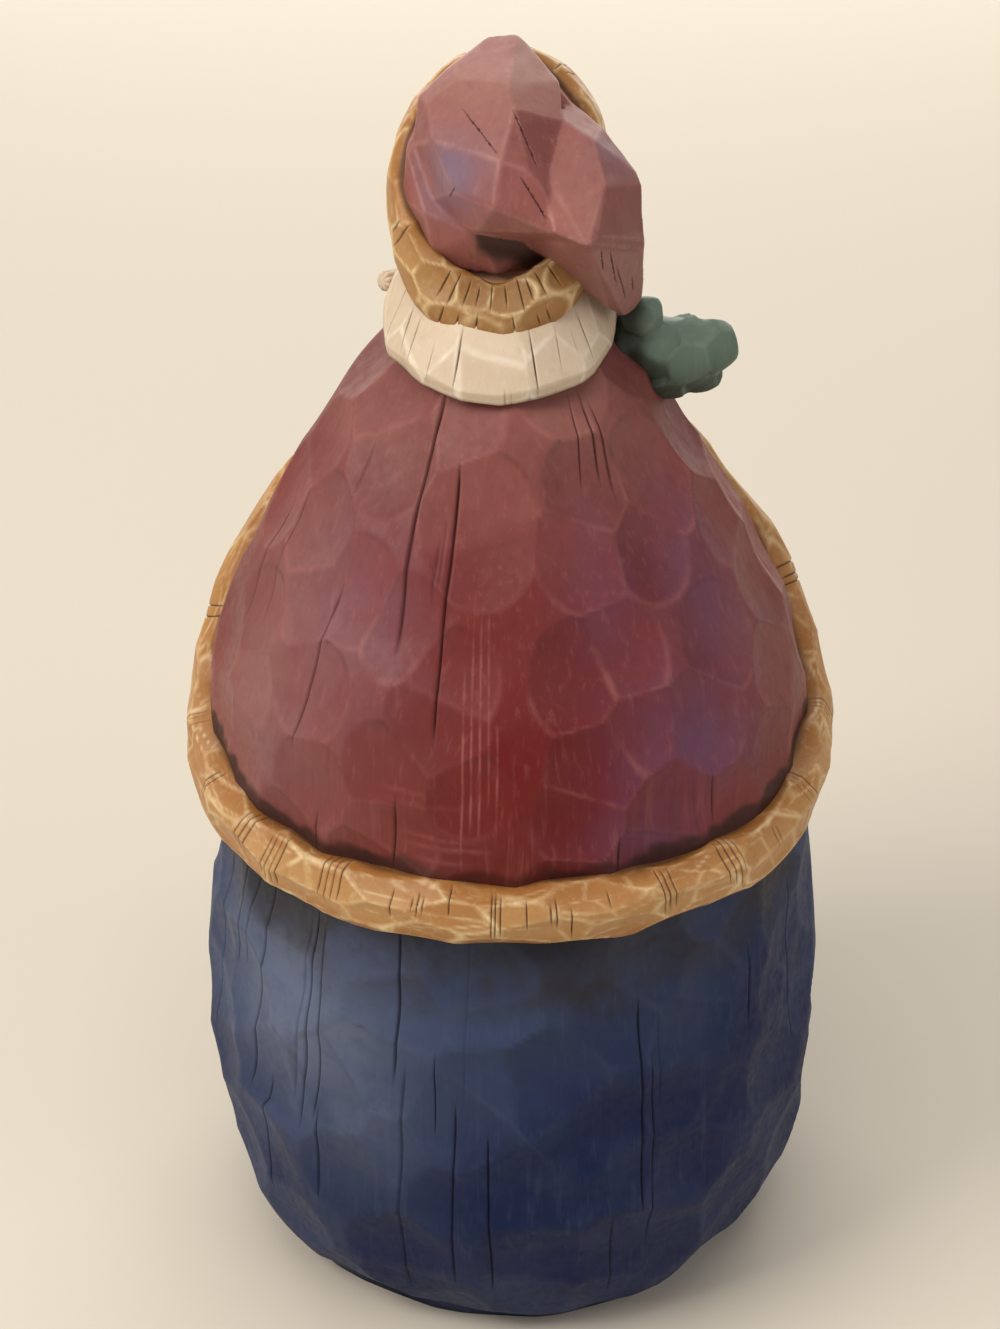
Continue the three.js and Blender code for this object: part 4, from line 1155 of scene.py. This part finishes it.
# Stations and balls are [x, y, z, radius, squash], with x counted outwards from the head's middle
face = {
    "middle": [[0, -2, 264, 1, (19.6, 22, 28)], [0, -25.2, 259.5, 4.4, (0.95, 1.05, 1)],
               [0, -22.3, 265, 4, (0.65, 0.8, 1.5)]],
    "cheek": [[9, -17.5, 258.5, 6, (1.13, 0.92, 0.97)]], "underCap": 1.5, "foreheadRise": 8,
    "carving": {"voxel": 0.75, "smoothing": 4, "cutEvery": 6, "strength": 0.25, "seed": 71},
    "blush": [[-10, -21, 258, 30, 1], [10, -21, 258, 30, 1], [0, -28, 259, 16, 0.8]], "blushAmount": 0.9,
    "eye": [[6.8, -20.6, 267.5, 2.6, (1.4, 0.88, 0.88)]],
    "eyeCarving": {"voxel": 0.3, "smoothing": 2, "cutEvery": 3, "strength": 0.1, "seed": 73},
    "brow": [[3.5, -22.2, 274, 1.9], [8, -21.4, 275.5, 2.4], [12.5, -18.4, 273, 1.9]],
    "browGrooves": {"columns": 30, "rows": 40, "grooves": 5, "flute": 0.2, "seed": 4},
    "moustache": [[1.5, -26, 253.5, 3.4], [8, -26.5, 250.5, 4.8], [15.5, -23.5, 246, 4.2],
                  [22, -19, 242.5, 3], [26, -15.5, 243.5, 2.3]],
    "moustacheGrooves": {"columns": 60, "rows": 90, "grooves": 9, "flute": 0.16, "seed": 6},
}


def toSide(side, rows, middle=0):
    return [[middle + side * row[0], *row[1:]] for row in rows]


# A fluted tube of changing thickness through [x, y, z, radius] stations, with rounded ends
def limbMesh(name, stations, columns, rows, grooves, flute, seed):
    line = np.array(stations, float)
    steps = np.linspace(0, 1, len(line))
    curves = [smoothCurve(np.stack([steps, line[:, k]], 1)) for k in range(4)]

    def place(u, v):
        t = np.clip((v - 0.06) / 0.88, 0, 1)
        at = np.stack([curves[k](t) for k in range(3)], 1)
        ahead = np.stack([curves[k](np.clip(t + 0.02, 0, 1)) - curves[k](np.clip(t - 0.02, 0, 1))
                          for k in range(3)], 1)
        ahead /= np.linalg.norm(ahead, axis=1)[:, None]
        side = np.cross([0, 0, 1], ahead)
        side /= np.linalg.norm(side, axis=1)[:, None]
        up = np.cross(ahead, side)
        end = np.clip(np.abs(v - 0.5) / 0.5, 0, 1)
        tip = np.where(end > 0.88, (end - 0.88) / 0.12, 0)
        narrowed = np.sqrt(np.clip(1 - tip**2, 0, 1))
        beyond = tip * np.sign(v - 0.5) * 0.5
        radius = curves[3](t)
        turn = u * fullTurn
        groove = np.abs(np.sin(turn * grooves / 2 + 2.5 * t))
        wide = radius * narrowed * (1 - flute * (1 - groove))
        points = at + side * (wide * np.cos(turn))[:, None] + up * (wide * np.sin(turn))[:, None]
        points = points + ahead * (radius * beyond)[:, None]
        waves = softWaves(points, 9, seed)
        paint = {
            "tone": 0.5 + 0.35 * waves,
            "shade": 0.8 * smoothStep(1 - groove, 0.55, 1.0) + 0.05,
            "rim": 0.5 * smoothStep(groove, 0.9, 1),
            "deep": 0.2 + 0.2 * waves,
        }
        return points, paint

    return wrappedSheet(name, columns, rows, place)


# Balls melted into one rounded form and whittled lightly
def roundPiece(name, balls, voxel, smoothing, cutEvery, strength, seed):
    piece = fused(name, [ballMesh(*ball) for ball in balls], voxel, smoothing)
    points, spot, gap = flatten(pointsOf(piece.data), normalsOf(piece.data), cutEvery, strength, seed)
    placePoints(piece.data, points)
    addPaint(piece.data, {
        "tone": 0.3 + 0.4 * chance(spot, 3, seed) + 0.2 * softWaves(points, 11, seed),
        "rim": (1 - smoothStep(gap, 0.1, 0.8)) * (0.15 + 0.5 * chance(spot, 7, seed)),
        "shade": np.full(len(points), 0.05),
        "deep": 0.3 * chance(spot, 5, seed),
    })
    return piece


headBalls = toSide(1, face["middle"], headX)
for side, _ in sides:
    headBalls += toSide(side, face["cheek"], headX)
facePiece = roundPiece("face", headBalls, **face["carving"])
facePoints = pointsOf(facePiece.data)
# the head stays below the cap's seat, so none of it shows between the cap and its brim
above, forward = (facePoints - brimMiddle) @ headOut, (facePoints - brimMiddle) @ headAlong
limit = lerp(-face["underCap"], face["foreheadRise"], smoothStep(forward, 0, 14))
facePoints -= np.maximum(0, above - limit)[:, None] * headOut
placePoints(facePiece.data, facePoints)
blush = np.zeros(len(facePoints))
for x, y, z, reach, amount in toSide(1, face["blush"], headX):
    far = np.linalg.norm(facePoints - [x, y, z], axis=1)
    blush = np.maximum(blush, amount * np.exp(-far**2 / reach))
addPaint(facePiece.data, {"glaze": blush * face["blushAmount"]})
finishPiece(facePiece, skinPaint)

for side, name in sides:
    eye = roundPiece(name + "_eye", toSide(side, face["eye"], headX), **face["eyeCarving"])
    finishPiece(eye, brownPaint)
    brow = limbMesh(name + "_brow", toSide(side, face["brow"], headX), **face["browGrooves"])
    finishPiece(brow, creamPaint)
    half = limbMesh(name + "_moustache", toSide(side, face["moustache"], headX),
                    **face["moustacheGrooves"])
    finishPiece(half, creamPaint)
print("face set")

arms = {
    "stations": [[42, -36, 190, 6.5], [39, -46, 181, 8.4], [33, -55, 172.5, 8.8], [28, -59, 168.5, 8.4]],
    "folds": {"columns": 60, "rows": 60, "grooves": 5, "flute": 0.06, "seed": 7},
}
cuff = {
    "balls": [[30.5, -57.5, 170.3, 10], [25, -61.3, 166.6, 10.2]],
    "carving": {"voxel": 0.6, "smoothing": 3, "cutEvery": 6, "strength": 0.6, "seed": 77},
}
mitten = {
    "balls": [[17.5, -63.5, 162.5, 1, (10, 8, 8)], [18, -66.5, 169.5, 1, (3.6, 3.4, 4.6)]],
    "carving": {"voxel": 0.5, "smoothing": 4, "cutEvery": 6, "strength": 0.5, "seed": 79},
}
boot = {
    "balls": [[21, -63.5, 5, 1, (17, 14.5, 13)]],
    "carving": {"voxel": 0.8, "smoothing": 3, "cutEvery": 9, "strength": 0.45, "seed": 81},
}
roundParts = (("cuff", cuff, goldPaint, "gold_paint"), ("mitten", mitten, brownPaint, "brown_paint"),
              ("boot", boot, brownPaint, "brown_paint"))
for side, name in sides:
    sleeve = limbMesh(name + "_sleeve", toSide(side, arms["stations"]), **arms["folds"])
    finishPiece(sleeve, redPaint)
    for part, shape, paint, slot in roundParts:
        piece = roundPiece(f"{name}_{part}", toSide(side, shape["balls"]), **shape["carving"])
        points = pointsOf(piece.data)
        points[:, 2] = np.maximum(points[:, 2], 0)  # the boots' soles are flat on the ground
        placePoints(piece.data, points)
        finishPiece(piece, paint)
print("arms and boots set")

studio = {
    "floor": "DAD3C6", "floorSize": 9.0, "floorRough": 0.9, "air": "E6E2DC", "airLight": 0.24,
    "aim": (0, 0, 0.17),
    "lamps": [
        # name, place in m, size in m, power in W, colour
        ["key", (0.8, 0.42, 0.95), 0.6, 10, (1.0, 0.93, 0.84)],
        ["top", (0.05, 0.4, 1.2), 0.7, 3.5, (1.0, 0.95, 0.88)],
        ["fill", (-1.2, 0.7, 0.8), 1.0, 5.6, (1.0, 0.95, 0.92)],
        ["wall", (0, -1.5, 0.7), 2.2, 34, (1.0, 0.95, 0.87)],
    ],
}
floorForm = bmesh.new()
bmesh.ops.create_grid(floorForm, x_segments=2, y_segments=2, size=studio["floorSize"] / 2)
floor = makeObject("floor", meshFrom(floorForm, "floor"))
floorPaint = bpy.data.materials.new("paleMattPaper")
floorPaint.use_nodes = True
paper = floorPaint.node_tree.nodes["Principled BSDF"].inputs
paper["Base Color"].default_value = paintColour(studio["floor"])
paper["Roughness"].default_value = studio["floorRough"]
floor.data.materials.append(floorPaint)

for name, at, size, power, colour in studio["lamps"]:
    lamp = bpy.data.lights.new(name, "AREA")
    lamp.size, lamp.energy, lamp.color = size, power, colour
    holder = makeObject(name, lamp)
    holder.location = at
    holder.rotation_euler = (Vector(studio["aim"]) - Vector(at)).to_track_quat("-Z", "Y").to_euler()
world = bpy.data.worlds.new("studio")
world.use_nodes = True
air = world.node_tree.nodes["Background"].inputs
air["Color"].default_value = paintColour(studio["air"])
air["Strength"].default_value = studio["airLight"]
bpy.context.scene.world = world
bpy.context.scene.view_settings.view_transform = "Standard"

# The photo was taken from behind and above, 30 degrees down
shot = {"at": (0.002308, 0.51728, 0.45099), "tilt": 60, "turn": 180, "lens": 67.72, "sensor": 36,
        "clip": (0.02, 20)}
optics = bpy.data.cameras.new("camera")
optics.lens, optics.sensor_width = shot["lens"], shot["sensor"]
optics.clip_start, optics.clip_end = shot["clip"]
camera = makeObject("camera", optics)
camera.location = shot["at"]
camera.rotation_euler = (math.radians(shot["tilt"]), 0, math.radians(shot["turn"]))
bpy.context.scene.camera = camera
print("studio ready")
